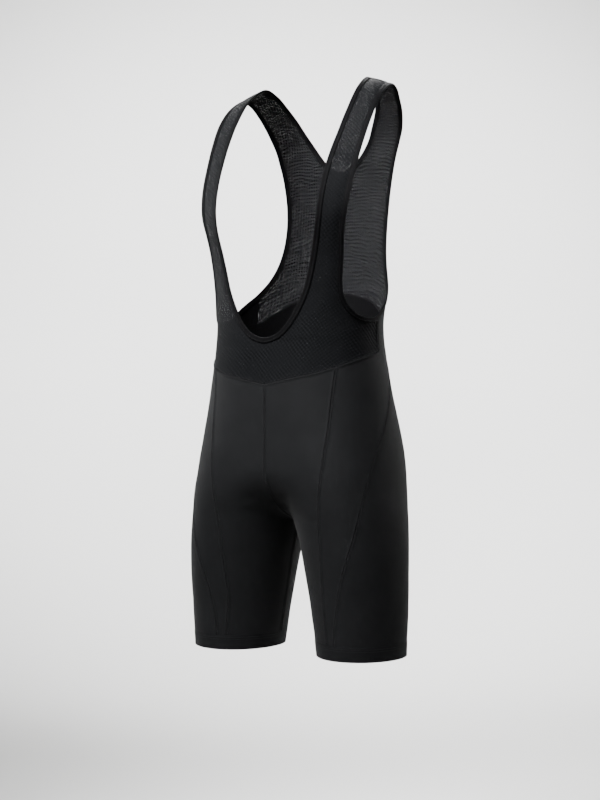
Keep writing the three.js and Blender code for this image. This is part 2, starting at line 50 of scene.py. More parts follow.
# %% Camera
CAMERA_PLACE = (1.1000, -1.9553, -0.499)
CAMERA_TARGET = (0.0, -0.05, -0.499)
LENS = 62.64

camera_data = bpy.data.cameras.new("camera")
camera_data.sensor_fit = "VERTICAL"
camera_data.sensor_height = 36
camera_data.lens = LENS
camera_data.clip_end = 50
camera = bpy.data.objects.new("camera", camera_data)
bpy.context.scene.collection.objects.link(camera)
camera.location = CAMERA_PLACE
camera.rotation_mode = "QUATERNION"
aim = Vector(CAMERA_TARGET) - Vector(CAMERA_PLACE)
camera.rotation_quaternion = aim.to_track_quat("-Z", "Y")
bpy.context.scene.camera = camera
print("camera", round(aim.length, 3), "m from the shorts")

# %% [markdown]
# The body under the cloth is a stack of cross-sections, one half of the body each.
# Each row of the table says how far a section reaches to the side, the front and the back, and
# where it is furthest out. The same rows made the solids, so the cloth lies where they are.
# A smooth curve through the rows gives the values at any height.

# %% Sections of the body, in millimetres above the hem
SHOULDER_Y, SHOULDER_Z = 50.0, 890.0
CROTCH_Y, CROTCH_Z = 5.0, 205.0
HEM_BAND = 23.0
BINDING = 7.0
# z, side, front, back, front_x, back_x, side_y, roundness
BODY = np.array([
    (0, 180, -78.5, 71, 111, 98, -2, 2),
    (70, 182, -82, 76.5, 119, 94, -2, 2),
    (140, 181.5, -91.5, 88, 118.5, 88, -2, 2),
    (205, 176.5, -99.5, 104.5, 106, 81, -1, 2.05),
    (250, 170, -105, 116.5, 91, 73.5, 2, 2.1),
    (295, 164.5, -107, 123.5, 70, 66, 4, 2.15),
    (340, 157.5, -106.5, 119.5, 45, 52, 4, 2.2),
    (411, 146.5, -106.5, 105.5, 17, 25, 2, 2.2),
    (500, 134, -107, 99, 13, 20, 1, 2.2),
    (583, 140.5, -107.5, 118, 24, 26, 4, 2.2),
    (690, 155, -109, 137, 55, 26, 8, 2.2),
    (800, 162, -80, 139.5, 55, 30, 26, 2.3),
], float)


def hermite(a, slope_a, b, slope_b, t):
    t2, t3 = t * t, t * t * t
    return (2 * t3 - 3 * t2 + 1) * a + (t3 - 2 * t2 + t) * slope_a + (3 * t2 - 2 * t3) * b + (t3 - t2) * slope_b


def curve_through(table, key, at):
    """Every column of a table at places along its key column, by a smooth curve through the rows."""
    at = np.asarray(at, float)
    knots = table[:, key]
    i = np.clip(np.searchsorted(knots, at) - 1, 0, len(knots) - 2)
    slopes = np.empty_like(table)
    slopes[1:-1] = (table[2:] - table[:-2]) / (knots[2:] - knots[:-2])[:, None]
    slopes[0] = (table[1] - table[0]) / (knots[1] - knots[0])
    slopes[-1] = (table[-1] - table[-2]) / (knots[-1] - knots[-2])
    span = (knots[i + 1] - knots[i])[..., None]
    t = np.clip((at - knots[i])[..., None] / span, 0, 1)
    return hermite(table[i], span * slopes[i], table[i + 1], span * slopes[i + 1], t)


# %% One section, from the centre front or the inseam round the side to the back
QUARTER = 36
GAP_LEAN, GAP_ROUND = 0.165, 3.1
BELLY = (80.0, 1.8)
SEAT = (110.0, 1.8)


def climb(curve, rise):
    height, power = curve
    if rise >= height:
        return 1.0
    return (1 - ((height - rise) / height) ** power) ** (1 / power)


def inner_quarter(edge, furthest_x, inner_x, reach):
    start = math.asin(min(reach, 0.99999))
    lead = 1 - math.cos(start)
    angle = np.linspace(start, math.pi / 2, QUARTER + 1)
    across = 1 - np.cos(angle)
    share = (across - lead) / (1 - lead)
    grown = lead + share * (math.hypot(1, lead) - lead)
    if reach > 0:
        x = furthest_x * np.sqrt(np.maximum(0, grown ** 2 - lead ** 2))
    else:
        x = inner_x + (furthest_x - inner_x) * across
    return np.stack([x, CROTCH_Y + (edge - CROTCH_Y) * np.sin(angle)], 1)


def section(z):
    _, side, front, back, front_x, back_x, side_y, roundness = curve_through(BODY, 0, z)
    drop, rise = max(0.0, CROTCH_Z - z), max(0.0, z - CROTCH_Z)
    inner_x = math.hypot(GAP_LEAN * drop, math.sqrt(GAP_ROUND * drop))
    power = 2 / roundness
    angle = np.linspace(0, math.pi, 2 * QUARTER + 1)[1:]
    behind = np.arange(1, 2 * QUARTER + 1) > QUARTER
    furthest = np.where(behind, back_x, front_x)
    edge = np.where(behind, back, front)
    outer = np.stack([
        furthest + (side - furthest) * np.abs(np.sin(angle)) ** power,
        side_y + (edge - side_y) * np.abs(np.cos(angle)) ** power,
    ], 1)
    start = inner_quarter(front, front_x, inner_x, climb(BELLY, rise))
    end = inner_quarter(back, back_x, inner_x, climb(SEAT, rise))
    return np.concatenate([start, outer, end[:-1][::-1]])


# %% [markdown]
# Working out a section is slow, and the cloth needs about a hundred thousand points of it.
# So the sections are worked out once into a fine chart: a row for each height and a column for
# each share of the way round. Any point of the cloth is then read off between four chart entries.

# %% Chart of the body's surface
SHARES = np.linspace(0, 1, 361)
HEIGHTS = np.concatenate([np.arange(-2, 190, 2.0), np.arange(190, 225, 0.5), np.arange(225, 812, 2.0)])


def even_row(points):
    length = np.concatenate([[0], np.cumsum(np.hypot(*np.diff(points, axis=0).T))])
    return np.stack([np.interp(SHARES, length / length[-1], points[:, k]) for k in (0, 1)], 1)


CHART = np.array([even_row(section(z)) for z in HEIGHTS])


def chart_rows(z):
    z = np.clip(z, HEIGHTS[0], HEIGHTS[-1] - 0.01)
    i = np.clip(np.searchsorted(HEIGHTS, z, side="right") - 1, 0, len(HEIGHTS) - 2)
    t = (z - HEIGHTS[i]) / (HEIGHTS[i + 1] - HEIGHTS[i])
    return i, t


def on_body(share, z):
    """Points of the left half of the body at shares of the way round and heights."""
    share, z = np.broadcast_arrays(np.asarray(share, float), np.asarray(z, float))
    i, t = chart_rows(z)
    s = np.clip(share, 0, 1) * (len(SHARES) - 1)
    j = np.minimum(s.astype(int), len(SHARES) - 2)
    u = (s - j)[..., None]
    t = t[..., None]
    low = CHART[i, j] * (1 - u) + CHART[i, j + 1] * u
    high = CHART[i + 1, j] * (1 - u) + CHART[i + 1, j + 1] * u
    return np.concatenate([low * (1 - t) + high * t, z[..., None]], -1)


def share_near(points):
    """Share of the way round at which the body passes nearest to each point."""
    points = np.atleast_2d(points)
    i, t = chart_rows(points[:, 2])
    rows = CHART[i] * (1 - t)[:, None, None] + CHART[i + 1] * t[:, None, None]
    a, step = rows[:, :-1], np.diff(rows, axis=1)
    off = points[:, None, :2] - a
    u = np.clip((off * step).sum(-1) / np.maximum((step ** 2).sum(-1), 1e-9), 0, 1)
    distance = np.linalg.norm(off - u[..., None] * step, axis=-1)
    nearest = distance.argmin(1)
    return (nearest + u[np.arange(len(points)), nearest]) / (len(SHARES) - 1)


def unit(v):
    return v / np.maximum(np.linalg.norm(v, axis=-1, keepdims=True), 1e-9)


def body_normal(share, z):
    along = on_body(np.minimum(1, share + 0.004), z) - on_body(np.maximum(0, share - 0.004), z)
    up = on_body(share, z + 1.5) - on_body(share, z - 1.5)
    return unit(np.cross(along, up))


print("chart", CHART.shape, "girth at the waist", round(2 * np.hypot(*np.diff(even_row(section(500)), axis=0).T).sum()), "mm")

# %% [markdown]
# The seams are curves on that surface. Each row is a place that the seam passes, and they are the
# rows that cut the solids apart, so cloth, solid and stitching all follow the same lines.

# %% Seams
# z, x, y
FRONT_SEAM = np.array([
    (0, 91, -75), (42, 88, -76), (85, 84.5, -77.5), (130, 86, -85.5), (165, 88, -92), (206, 89, -98.5),
    (258, 94, -105), (302, 98.5, -102), (347, 102, -93.5), (391, 103.5, -86), (438, 106, -77.5),
], float)
THIGH_SEAM = np.array([
    (0, 103.5, -78.5), (48, 106, -80), (86, 112.5, -83.6), (117, 120, -88), (147, 130, -90.7),
    (185, 141, -87.4), (218, 147, -81), (252, 151, -71), (300, 156, -48), (352, 156, -12),
    (400, 149, 22), (440, 138, 43), (480, 126, 55), (518, 117, 61),
], float)
# x, y, z
WAIST_SEAM = np.array([
    (0, -107, 415), (44, -105, 424), (76, -96, 430.5), (102, -81, 439), (124, -56, 450),
    (133, -32, 457.5), (138, 1, 465),
], float)
BACK_ARCH = np.array([
    (0, 114, 567), (30, 113, 565), (58, 108, 558), (78, 99, 550), (94, 86, 538), (107, 73, 527), (117, 61, 518),
], float)


def seam_share(seam, z):
    row = curve_through(seam, 0, np.atleast_1d(z))
    return share_near(np.stack([row[:, 1], row[:, 2], np.atleast_1d(np.asarray(z, float))], 1))


def front_share(z):
    return seam_share(FRONT_SEAM, z)


def thigh_share(z):
    return seam_share(THIGH_SEAM, z)


waist_by_share = np.stack([share_near(WAIST_SEAM), WAIST_SEAM[:, 2]], 1)
arch_by_share = np.stack([share_near(BACK_ARCH), BACK_ARCH[:, 2]], 1)[::-1].copy()
arch_by_share[-1, 0] = 1


def waist_height(share):
    return curve_through(waist_by_share, 0, share)[..., 1]


def arch_height(share):
    return curve_through(arch_by_share, 0, share)[..., 1]


HIP_LOW, HIP_TOP = 380.0, 518.0
side_share = waist_by_share[-1, 0]
hip_share = thigh_share(HIP_TOP)[0]
waist_top = 438.0
for _ in range(8):
    waist_top = float(waist_height(front_share(waist_top))[0])
print("front seam meets the waist at", round(waist_top), "mm, side at", round(float(side_share), 3))

# %% [markdown]
# The bib is open at the neck and the arms. Its two finished edges run as pairs of points, from the
# middle of the scoop over the shoulder to the middle of the back. Near the body they settle onto it.
# Between the front and back they leave it and become a strap. A seam runs a binding's width inside.

# %% Finished edges of the bib
# neck x, y, z and arm x, y, z
BIB_EDGES = np.array([
    (0, -107, 485.5, 134, 0, 519), (20, -107, 491, 133, -17, 517), (33, -106.5, 502, 129, -35, 518),
    (44, -105.5, 516, 123, -51, 525), (55, -104.5, 535, 118, -62, 537), (63.5, -103, 554, 115, -68.5, 552),
    (70, -104, 573, 114.5, -71, 572), (78, -104.5, 607, 117.5, -73, 605), (85.5, -107, 645, 123.5, -80, 643),
    (90, -105, 685, 130, -83, 680), (92, -95, 721, 134.5, -75, 718), (94, -78, 758, 137, -59.5, 757),
    (97, -53, 799, 139.5, -40, 797), (98, -25, 839, 141.5, -17, 834), (97, 8, 876, 141, 12, 864),
    (93, 48, 900, 139, 45, 883), (88.5, 78.5, 895, 136.5, 69, 881), (82, 102.5, 878, 133, 86, 869),
    (72.5, 118.5, 858, 129.5, 103, 852), (61.8, 128.3, 837, 124, 115, 832), (48.6, 136, 814, 117.5, 122.5, 810),
    (32, 138.7, 791, 111.5, 126, 786), (15, 137.5, 776, 106, 127, 764), (0, 137, 771, 101, 126, 740),
], float)
BACK_ARMHOLE = np.array([
    (96.8, 124, 712), (94.5, 119.5, 680), (95.5, 111, 645), (101, 99, 612), (110, 84.5, 586),
    (120, 67, 566), (127, 52, 554), (131.5, 37, 543.5), (134.3, 19, 531),
], float)
STRAP_START, SHOULDER, STRAP_END, LAST, SETTLE = 7, 15, 21, 23, 2
BACK_CORNER, UNDERARM = 29, 33
STRAP_CROWN = 2.0
ACROSS = np.array([-1.0, 1, 1])

neck_rows = BIB_EDGES[:, :3]
arm_rows = np.concatenate([BIB_EDGES[:, 3:], BACK_ARMHOLE])
neck_padded = np.concatenate([ACROSS * neck_rows[1:2], neck_rows, ACROSS * neck_rows[-2:-4:-1]])
arm_padded = np.concatenate([arm_rows[-1:], arm_rows, arm_rows[:3]])
EDGES = {"neck": neck_padded, "arm": arm_padded}


def edge_at(which, at):
    rows = EDGES[which]
    at = np.asarray(at, float)
    i = np.clip(np.floor(at + 1e-9).astype(int), -1, len(rows) - 4)
    t = np.clip(at - i, -1, 1)[:, None]
    before, a, b, after = (rows[np.clip(i + k, 0, len(rows) - 1)] for k in (0, 1, 2, 3))
    return hermite(a, (b - before) / 2, b, (after - a) / 2, t)


def smooth(t):
    s = np.clip(t, 0, 1)
    return s * s * (3 - 2 * s)


def strap_share(at):
    return np.minimum(smooth((at - STRAP_START) / SETTLE), smooth((STRAP_END - at) / SETTLE))


def settled(points, at):
    free = strap_share(at)[:, None]
    return on_body(share_near(points), points[:, 2]) * (1 - free) + points * free


def edge_pair(which, at):
    """Finished edge, the seam a binding's width inside it, and the cloth's outward direction there."""
    at = np.atleast_1d(np.asarray(at, float))
    other, inward = ("arm", 1) if which == "neck" else ("neck", -1)
    finished = settled(edge_at(which, at), at)
    nearby = np.where(at < 0.02, 0.02, at) if which == "arm" else at
    direction = unit(edge_at(which, nearby + 0.02) - edge_at(which, nearby - 0.02))
    free = strap_share(at)[:, None]
    across = (edge_at(other, np.minimum(at, LAST)) - finished) * inward
    normal = body_normal(share_near(finished), finished[:, 2]) * (1 - free) + unit(np.cross(across, direction)) * free
    normal = unit(normal)
    inside = unit(np.cross(direction, normal)) * inward
    seam = settled(finished + inside * BINDING, at)
    return finished, seam, normal


def places(points):
    """Share and height of points on the body; those on the centre plane keep to it."""
    share = share_near(points)
    centre = np.abs(points[:, 0]) < 1e-6
    share = np.where(centre, (points[:, 1] > 0).astype(float), share)
    return np.stack([share, points[:, 2]], 1)


print("neck edge", round(float(np.linalg.norm(np.diff(edge_pair("neck", np.linspace(0, LAST, 400))[0], axis=0), axis=1).sum()) * 2), "mm round")

# %% [markdown]
# A panel is a grid of points between its seams. Real panels are cut flat and sewn, and here the grid
# is laid straight onto the chart, which is quick and always meets its neighbours exactly.
# Columns and rows crowd together at the seams, where the cloth bends over the stitching.

# %% Grids of points
COLUMNS = {"front": 30, "side_front": 18, "side_back": 18, "back": 48}
CROWDING = 0.8


def crowded(count, start=True, end=True):
    t = np.linspace(0, 1, count + 1)
    if start and end:
        return t - CROWDING * np.sin(2 * np.pi * t) / (2 * np.pi)
    if start:
        return t - CROWDING * np.sin(np.pi * t) / np.pi
    if end:
        return t + CROWDING * np.sin(np.pi * t) / np.pi
    return t


def between(a, b, t, sag=1.0):
    a, b = np.asarray(a, float), np.asarray(b, float)
    share = a[0] + (b[0] - a[0]) * t
    return np.stack([share, a[1] + (b[1] - a[1]) * t ** sag], 1)


def filled(bottom, top, left, right, u, v):
    """Fills a four-sided area from its four sides; u and v say how the columns and rows are spaced."""
    u, v = u[None, :, None], v[:, None, None]
    across = left[:, None] * (1 - u) + right[:, None] * u
    up = bottom[None] * (1 - v) + top[None] * v
    low = bottom[0] * (1 - u) + bottom[-1] * u
    high = top[0] * (1 - u) + top[-1] * u
    return across + up - (low * (1 - v) + high * v)


LEG_ROWS = HEM_BAND + (CROTCH_Z - HEM_BAND) * crowded(56, True, True)
LEG_ROWS = np.concatenate([LEG_ROWS, CROTCH_Z + (HIP_LOW - CROTCH_Z) * crowded(48, True, False)[1:]])


def across_leg(start, end, t):
    a, b = start(LEG_ROWS), end(LEG_ROWS)
    share = a[:, None] + (b - a)[:, None] * t[None]
    return np.stack([share, np.broadcast_to(LEG_ROWS[:, None], share.shape)], -1)


def raised(row, top, t):
    return row[None] + (top - row)[None] * t[:, None, None]


def centre_front(z):
    return np.zeros(len(z))


def centre_back(z):
    return np.ones(len(z))


# %% Panels of the left leg
t_front = crowded(COLUMNS["front"])
t_side = np.concatenate([crowded(COLUMNS["side_front"], True, False) / 2, 0.5 + crowded(COLUMNS["side_back"], False, True)[1:] / 2])
t_back = crowded(COLUMNS["back"])
RISE = crowded(16, False, True)

front_leg = across_leg(centre_front, front_share, t_front)
waist_start = float(front_share(waist_top)[0])
front_waist = np.stack([waist_start * t_front, waist_height(waist_start * t_front)], 1)
front_rise = raised(front_leg[-1], front_waist, RISE)

side_leg = across_leg(front_share, thigh_share, t_side)
middle = COLUMNS["side_front"]
side_waist_shares = waist_start + (side_share - waist_start) * crowded(COLUMNS["side_front"], True, False)
side_waist = np.stack([side_waist_shares, waist_height(side_waist_shares)], 1)
side_rise = raised(side_leg[-1, :middle + 1], side_waist, RISE)

underarm = places(edge_pair("arm", [0])[1])[0]
corner = places(edge_pair("arm", [BACK_CORNER])[1])[0]
SIDE_SEAM_T, BACK_EDGE_T = crowded(14), crowded(10)
side_seam = between((side_share, WAIST_SEAM[-1, 2]), underarm, SIDE_SEAM_T)
back_edge = between((hip_share, HIP_TOP), corner, BACK_EDGE_T)
ROWS_BEHIND = len(RISE) + len(SIDE_SEAM_T) - 1
hip_rows = np.linspace(HIP_LOW, HIP_TOP, ROWS_BEHIND - len(BACK_EDGE_T) + 1)
hip_line = np.stack([thigh_share(hip_rows), hip_rows], 1)
side_left = np.concatenate([side_rise[:, middle], side_seam[1:]])
side_right = np.concatenate([hip_line, back_edge[1:]])
arm_at = UNDERARM + (BACK_CORNER - UNDERARM) * crowded(COLUMNS["side_back"], False, True)
side_top = places(edge_pair("arm", arm_at)[1])
side_top[0] = underarm
u_behind = 2 * t_side[middle:] - 1
side_behind = filled(side_leg[-1, middle:], side_top, side_left, side_right, u_behind, np.linspace(0, 1, ROWS_BEHIND))

back_leg = across_leg(thigh_share, centre_back, t_back)
HIP_GRID = HIP_LOW + (HIP_TOP - HIP_LOW) * crowded(40, False, True)
hip_from = thigh_share(HIP_GRID)
rise_share = hip_from[:, None] + (1 - hip_from)[:, None] * t_back[None]
rise_up = ((HIP_GRID - HIP_LOW) / (HIP_TOP - HIP_LOW))[:, None]
back_rise = np.stack([rise_share, HIP_LOW + (arch_height(np.maximum(rise_share, hip_share)) - HIP_LOW) * rise_up], -1)
print("rows up the leg", len(LEG_ROWS), "columns", {k: v for k, v in COLUMNS.items()})

# %% Bib, front and back
PER_ROW = 16


def bib_rows(start, end, t):
    count = int(abs(end - start) * PER_ROW)
    at = np.linspace(start, end, count + 1)
    neck, arm = places(edge_pair("neck", at)[1]), places(edge_pair("arm", np.where(at < 2, at ** 2 / 2, at))[1])
    return np.array([between(n, a, t, max(1.0, 2 - k * 0.75)) for n, a, k in zip(neck, arm, at)])


def strap(first, start, end, t):
    """Strap rows: the first row's own curve fades into a slightly crowned band."""
    count = int(abs(end - start) * PER_ROW)
    at = np.linspace(start, end, count + 1)[1:]
    v = np.arange(1, count + 1)[:, None, None] / count
    neck, arm = edge_pair("neck", at)[1], edge_pair("arm", at)[1]
    along = unit(edge_at("neck", at + 0.02) - edge_at("neck", at - 0.02))
    crown = unit(np.cross(arm - neck, along)) * STRAP_CROWN
    u = t[None, :, None]
    own = first - (first[0] + (first[-1] - first[0]) * t[:, None])
    flat = neck[:, None] * (1 - u) + arm[:, None] * u
    return flat + own[None] * (1 - v) ** 2 + crown[:, None] * 4 * u * (1 - u) * (1 - (1 - v) ** 2)


waist_row = np.concatenate([front_waist, side_waist[1:]])
t_bib = (waist_row[:, 0] - waist_row[0, 0]) / (waist_row[-1, 0] - waist_row[0, 0])
over = bib_rows(0, STRAP_START, t_bib)
centre_line = between(waist_row[0], over[0, 0], SIDE_SEAM_T)
belly = filled(waist_row, over[0], centre_line, side_seam, t_bib, SIDE_SEAM_T)
front_on_body = on_body(*np.moveaxis(np.concatenate([belly, over[1:]]), -1, 0))
bib_front_grid = np.concatenate([front_on_body, strap(front_on_body[-1], STRAP_START, SHOULDER, t_bib)])

arch_row = back_rise[-1][::-1]
t_arch = (arch_row[0, 0] - arch_row[:, 0]) / (arch_row[0, 0] - arch_row[-1, 0])
beside_at = np.linspace(BACK_CORNER, LAST, (BACK_CORNER - LAST) * PER_ROW + 1)
outer_line = np.concatenate([back_edge, places(edge_pair("arm", beside_at)[1])[1:]])
v_back = np.concatenate([[0], np.cumsum(np.linalg.norm(np.diff(on_body(*outer_line.T), axis=0), axis=1))])
v_back /= v_back[-1]
back_over = bib_rows(LAST, STRAP_END, t_arch)
centre_line = between(arch_row[0], back_over[0, 0], v_back)
low_back = filled(arch_row, back_over[0], centre_line, outer_line, t_arch, v_back)
back_on_body = on_body(*np.moveaxis(np.concatenate([low_back, back_over[1:]]), -1, 0))
bib_back_grid = np.concatenate([back_on_body, strap(back_on_body[-1], STRAP_END, SHOULDER, t_arch)])
print("bib front", bib_front_grid.shape[:2], "bib back", bib_back_grid.shape[:2])

# %% [markdown]
# The hem band is a ring of doubled cloth below the three panels. It is one strip, turned up on itself,
# so it is made as one closed ring whose points stand right under the panels' lowest points.

# %% Hem band
HEM_ROWS = HEM_BAND * crowded(12)
a, b = front_share(HEM_ROWS)[:, None], thigh_share(HEM_ROWS)[:, None]
hem_shares = np.concatenate([a * t_front, a + (b - a) * t_side[1:], b + (1 - b) * t_back[1:]], axis=1)
hem_ring = on_body(hem_shares, np.broadcast_to(HEM_ROWS[:, None], hem_shares.shape))
print("leg opening", round(float(np.linalg.norm(np.diff(hem_ring[0], axis=0), axis=1).sum())), "mm round")

# %% [markdown]
# Neighbouring panels must agree which way is out along their seam, or the seam opens like a lid.
# So the directions are summed up over every face that meets at a point, whichever panel it is in,
# and each panel then reads its own from the shared sum.

# %% Grids in space and their shared directions
def in_space(grid):
    return on_body(grid[..., 0], grid[..., 1])


EASE = {"reach": 24.0, "blur": 9.0, "edge": 0.12}


def eased(grid, t):
    """Rounds the turn level with the crotch, where the legs' sections give way to the hips'."""
    z = grid[:, 0, 2]
    kernel = np.exp(-((z[:, None] - z[None]) / EASE["blur"]) ** 2) * np.gradient(z)[None]
    blurred = np.einsum("ij,jkl->ikl", kernel / kernel.sum(1, keepdims=True), grid)
    weight = np.exp(-((z - CROTCH_Z) / EASE["reach"]) ** 4)[:, None] * (smooth(t / EASE["edge"]) * smooth((1 - t) / EASE["edge"]))[None]
    return grid + (blurred - grid) * weight[..., None]


LEFT = {
    "leg_front": [eased(in_space(front_leg), t_front), in_space(front_rise)],
    "leg_side": [in_space(side_leg), in_space(side_rise), in_space(side_behind)],
    "leg_back": [eased(in_space(back_leg), t_back), in_space(back_rise)],
    "hem_band": [hem_ring],
    "bib_front": [bib_front_grid],
    "bib_back": [bib_back_grid[:, ::-1]],
}


def keys_of(points):
    k = np.round(points.reshape(-1, 3) * 20 + 0.137).astype(np.int64) + 100000
    return (k[:, 0] * 300000 + k[:, 1]) * 300000 + k[:, 2]


def face_normals(grid):
    return np.cross(grid[1:, 1:] - grid[:-1, :-1], grid[1:, :-1] - grid[:-1, 1:])


def shared_normals(grids):
    flat = [g.reshape(-1, 3) for g in grids]
    keys, where = np.unique(np.concatenate([keys_of(g) for g in grids]), return_inverse=True)
    total = np.zeros((len(keys), 3))
    start = 0
    for grid, points in zip(grids, flat):
        index = where[start:start + len(points)].reshape(grid.shape[:2])
        out = face_normals(grid).reshape(-1, 3)
        for corner in (index[:-1, :-1], index[:-1, 1:], index[1:, 1:], index[1:, :-1]):
            np.add.at(total, corner.reshape(-1), out)
        start += len(points)
    normals, start = [], 0
    for grid, points in zip(grids, flat):
        n = total[where[start:start + len(points)]].reshape(grid.shape).copy()
        n[np.abs(grid[..., 0]) < 1e-4, 0] = 0
        normals.append(unit(n))
        start += len(points)
    return normals


every_grid = [g for grids in LEFT.values() for g in grids]
every_normal = shared_normals(every_grid)
NORMALS, start = {}, 0
for name, grids in LEFT.items():
    NORMALS[name] = every_normal[start:start + len(grids)]
    start += len(grids)
print("points", sum(g.shape[0] * g.shape[1] for g in every_grid), "outward at the belly", np.round(NORMALS["leg_front"][0][-1, 0], 2))

# %% [markdown]
# Every seam is also kept as a line of close points with its outward direction and its length so far.
# The line does three jobs: the cloth swells and puckers beside it, it sinks at the seam itself,
# and the stitches are laid along it.

# %% Seam lines
def line_on_body(share, z):
    points, out = on_body(share, z), body_normal(share, z)
    out[np.abs(points[:, 0]) < 1e-4, 0] = 0
    return points, unit(out)


def evenly(points, out, spacing=1.0):
    length = np.concatenate([[0], np.cumsum(np.linalg.norm(np.diff(points, axis=0), axis=1))])
    s = np.linspace(0, length[-1], max(2, int(length[-1] / spacing)))
    pick = lambda values: np.stack([np.interp(s, length, values[:, k]) for k in range(3)], 1)
    return {"points": pick(points), "out": unit(pick(out)), "s": s}


z_front, z_thigh = np.linspace(HEM_BAND, waist_top, 300), np.linspace(HEM_BAND, HIP_TOP, 360)
z_in, z_belly, z_seat = np.linspace(HEM_BAND, 204.9, 150), np.linspace(205.2, 415, 160), np.linspace(205.2, 567, 260)
share_waist, share_arch = np.linspace(0, side_share, 160), np.linspace(hip_share, 1, 140)
at_shoulder = np.array([SHOULDER])
neck_end, arm_end = edge_pair("neck", at_shoulder), edge_pair("arm", at_shoulder)
t_line = np.linspace(0, 1, 40)[:, None]
shoulder_line = neck_end[1] * (1 - t_line) + arm_end[1] * t_line
SEAM_LINES = {
    "front": evenly(*line_on_body(front_share(z_front), z_front)),
    "thigh": evenly(*line_on_body(thigh_share(z_thigh), z_thigh)),
    "inseam": evenly(*line_on_body(np.zeros(150), z_in)),
    "belly": evenly(*line_on_body(np.zeros(160), z_belly)),
    "seat": evenly(*line_on_body(np.ones(260), z_seat)),
    "waist": evenly(*line_on_body(share_waist, waist_height(share_waist))),
    "arch": evenly(*line_on_body(share_arch, arch_height(share_arch))),
    "side": evenly(*line_on_body(*side_seam.T)),
    "back_edge": evenly(*line_on_body(*back_edge.T)),
    "shoulder": evenly(shoulder_line, np.broadcast_to(neck_end[2], shoulder_line.shape)),
}


def flipped(line):
    return {"points": line["points"] * ACROSS, "out": line["out"] * ACROSS, "s": line["s"]}


both_sides = list(SEAM_LINES.values()) + [flipped(line) for line in SEAM_LINES.values()]
seam_points = np.concatenate([line["points"] for line in both_sides])
seam_lengths = np.concatenate([line["s"] for line in both_sides])
# The seam that winds round the hip lies nearly flat above the thigh, where the cloth is least stretched
seam_shown = np.concatenate([
    1 - 0.75 * smooth((line["points"][:, 2] - 190) / 60) * (k % len(SEAM_LINES) == 1)
    for k, line in enumerate(both_sides)
])
seam_tree = kdtree.KDTree(len(seam_points))
for i, p in enumerate(seam_points):
    seam_tree.insert(p, i)
seam_tree.balance()
print("sewn length", round(sum(line["s"][-1] for line in both_sides) / 1000, 2), "m")


def nearest_seam(points):
    found = [seam_tree.find(p)[1:] for p in points]
    index = np.array([f[0] for f in found])
    return np.array([f[1] for f in found]), seam_lengths[index], seam_shown[index]


# %% [markdown]
# Stretched cloth is never quite even. Beside a flat-locked seam it stands up in a low band, sinks along
# the join and puckers a little with every few stitches. Soft creases cross the groin and the hips.
# Each is a small height added along the outward direction, so no panel leaves its place.

# %% Low relief of the cloth, in millimetres
SEAM_BAND = {"reach": 2.1, "width": 1.3, "height": 0.46}
SEAM_SINK = {"width": 0.7, "depth": 0.4}
PUCKER = {"every": 7.5, "height": 0.16, "fade": 6.0}
# where the crease is, which way it runs, how long, how wide, how high
CREASES = [
    {"x": 38, "y": -88, "z": 232, "dx": 0.8, "dy": 0.0, "dz": 0.55, "length": 46, "width": 6, "height": 0.9},
    {"x": 30, "y": -90, "z": 246, "dx": 0.8, "dy": 0.0, "dz": 0.6, "length": 40, "width": 5, "height": -0.7},
    {"x": -38, "y": -88, "z": 226, "dx": -0.8, "dy": 0.0, "dz": 0.5, "length": 50, "width": 6, "height": 1.0},
    {"x": -34, "y": -90, "z": 244, "dx": -0.8, "dy": 0.0, "dz": 0.62, "length": 40, "width": 5, "height": -0.8},
    {"x": -50, "y": -96, "z": 262, "dx": -0.9, "dy": 0.0, "dz": 0.4, "length": 44, "width": 6, "height": 0.5},
    {"x": 60, "y": -98, "z": 214, "dx": 0.9, "dy": 0.0, "dz": 0.25, "length": 46, "width": 6, "height": 0.6},
    {"x": 150, "y": -20, "z": 330, "dx": 0.1, "dy": 0.9, "dz": 0.25, "length": 50, "width": 7, "height": 0.7},
    {"x": 142, "y": -30, "z": 404, "dx": 0.1, "dy": 0.9, "dz": -0.2, "length": 46, "width": 6, "height": 0.6},
    {"x": -150, "y": -20, "z": 340, "dx": -0.1, "dy": 0.9, "dz": 0.2, "length": 50, "width": 7, "height": 0.7},
    {"x": 60, "y": 112, "z": 226, "dx": 0.9, "dy": 0.0, "dz": 0.3, "length": 52, "width": 7, "height": -0.9},
    {"x": -60, "y": 112, "z": 226, "dx": -0.9, "dy": 0.0, "dz": 0.3, "length": 52, "width": 7, "height": -0.9},
    {"x": 60, "y": 110, "z": 214, "dx": 0.9, "dy": 0.0, "dz": 0.24, "length": 50, "width": 6, "height": 0.7},
    {"x": -60, "y": 110, "z": 214, "dx": -0.9, "dy": 0.0, "dz": 0.24, "length": 50, "width": 6, "height": 0.7},
]


def creased(points):
    height = np.zeros(len(points))
    for c in CREASES:
        place = np.array([c["x"], c["y"], c["z"]], float)
        way = unit(np.array([c["dx"], c["dy"], c["dz"]], float))
        off = points - place
        along = off @ way
        apart = np.linalg.norm(off - along[:, None] * way, axis=1)
        bend = 4 * np.sin(along / c["length"] * 2.2)
        height += c["height"] * np.exp(-((apart - bend * 0.2) / c["width"]) ** 2 - (along / c["length"]) ** 2 * 3)
    return height


def seam_relief(distance, length, shown=1.0):
    band = SEAM_BAND["height"] * np.exp(-((distance - SEAM_BAND["reach"]) / SEAM_BAND["width"]) ** 2)
    sink = SEAM_SINK["depth"] * np.exp(-(distance / SEAM_SINK["width"]) ** 2)
    pucker = np.sin(length * 2 * np.pi / PUCKER["every"] + 1.7 * np.sin(length / 23))
    return shown * (band - sink + PUCKER["height"] * pucker * np.exp(-distance / PUCKER["fade"]))


def noise_at(points, size, seed=0.0):
    return np.array([noise.noise(Vector(p) / size + Vector((seed, 0, 0))) for p in points])


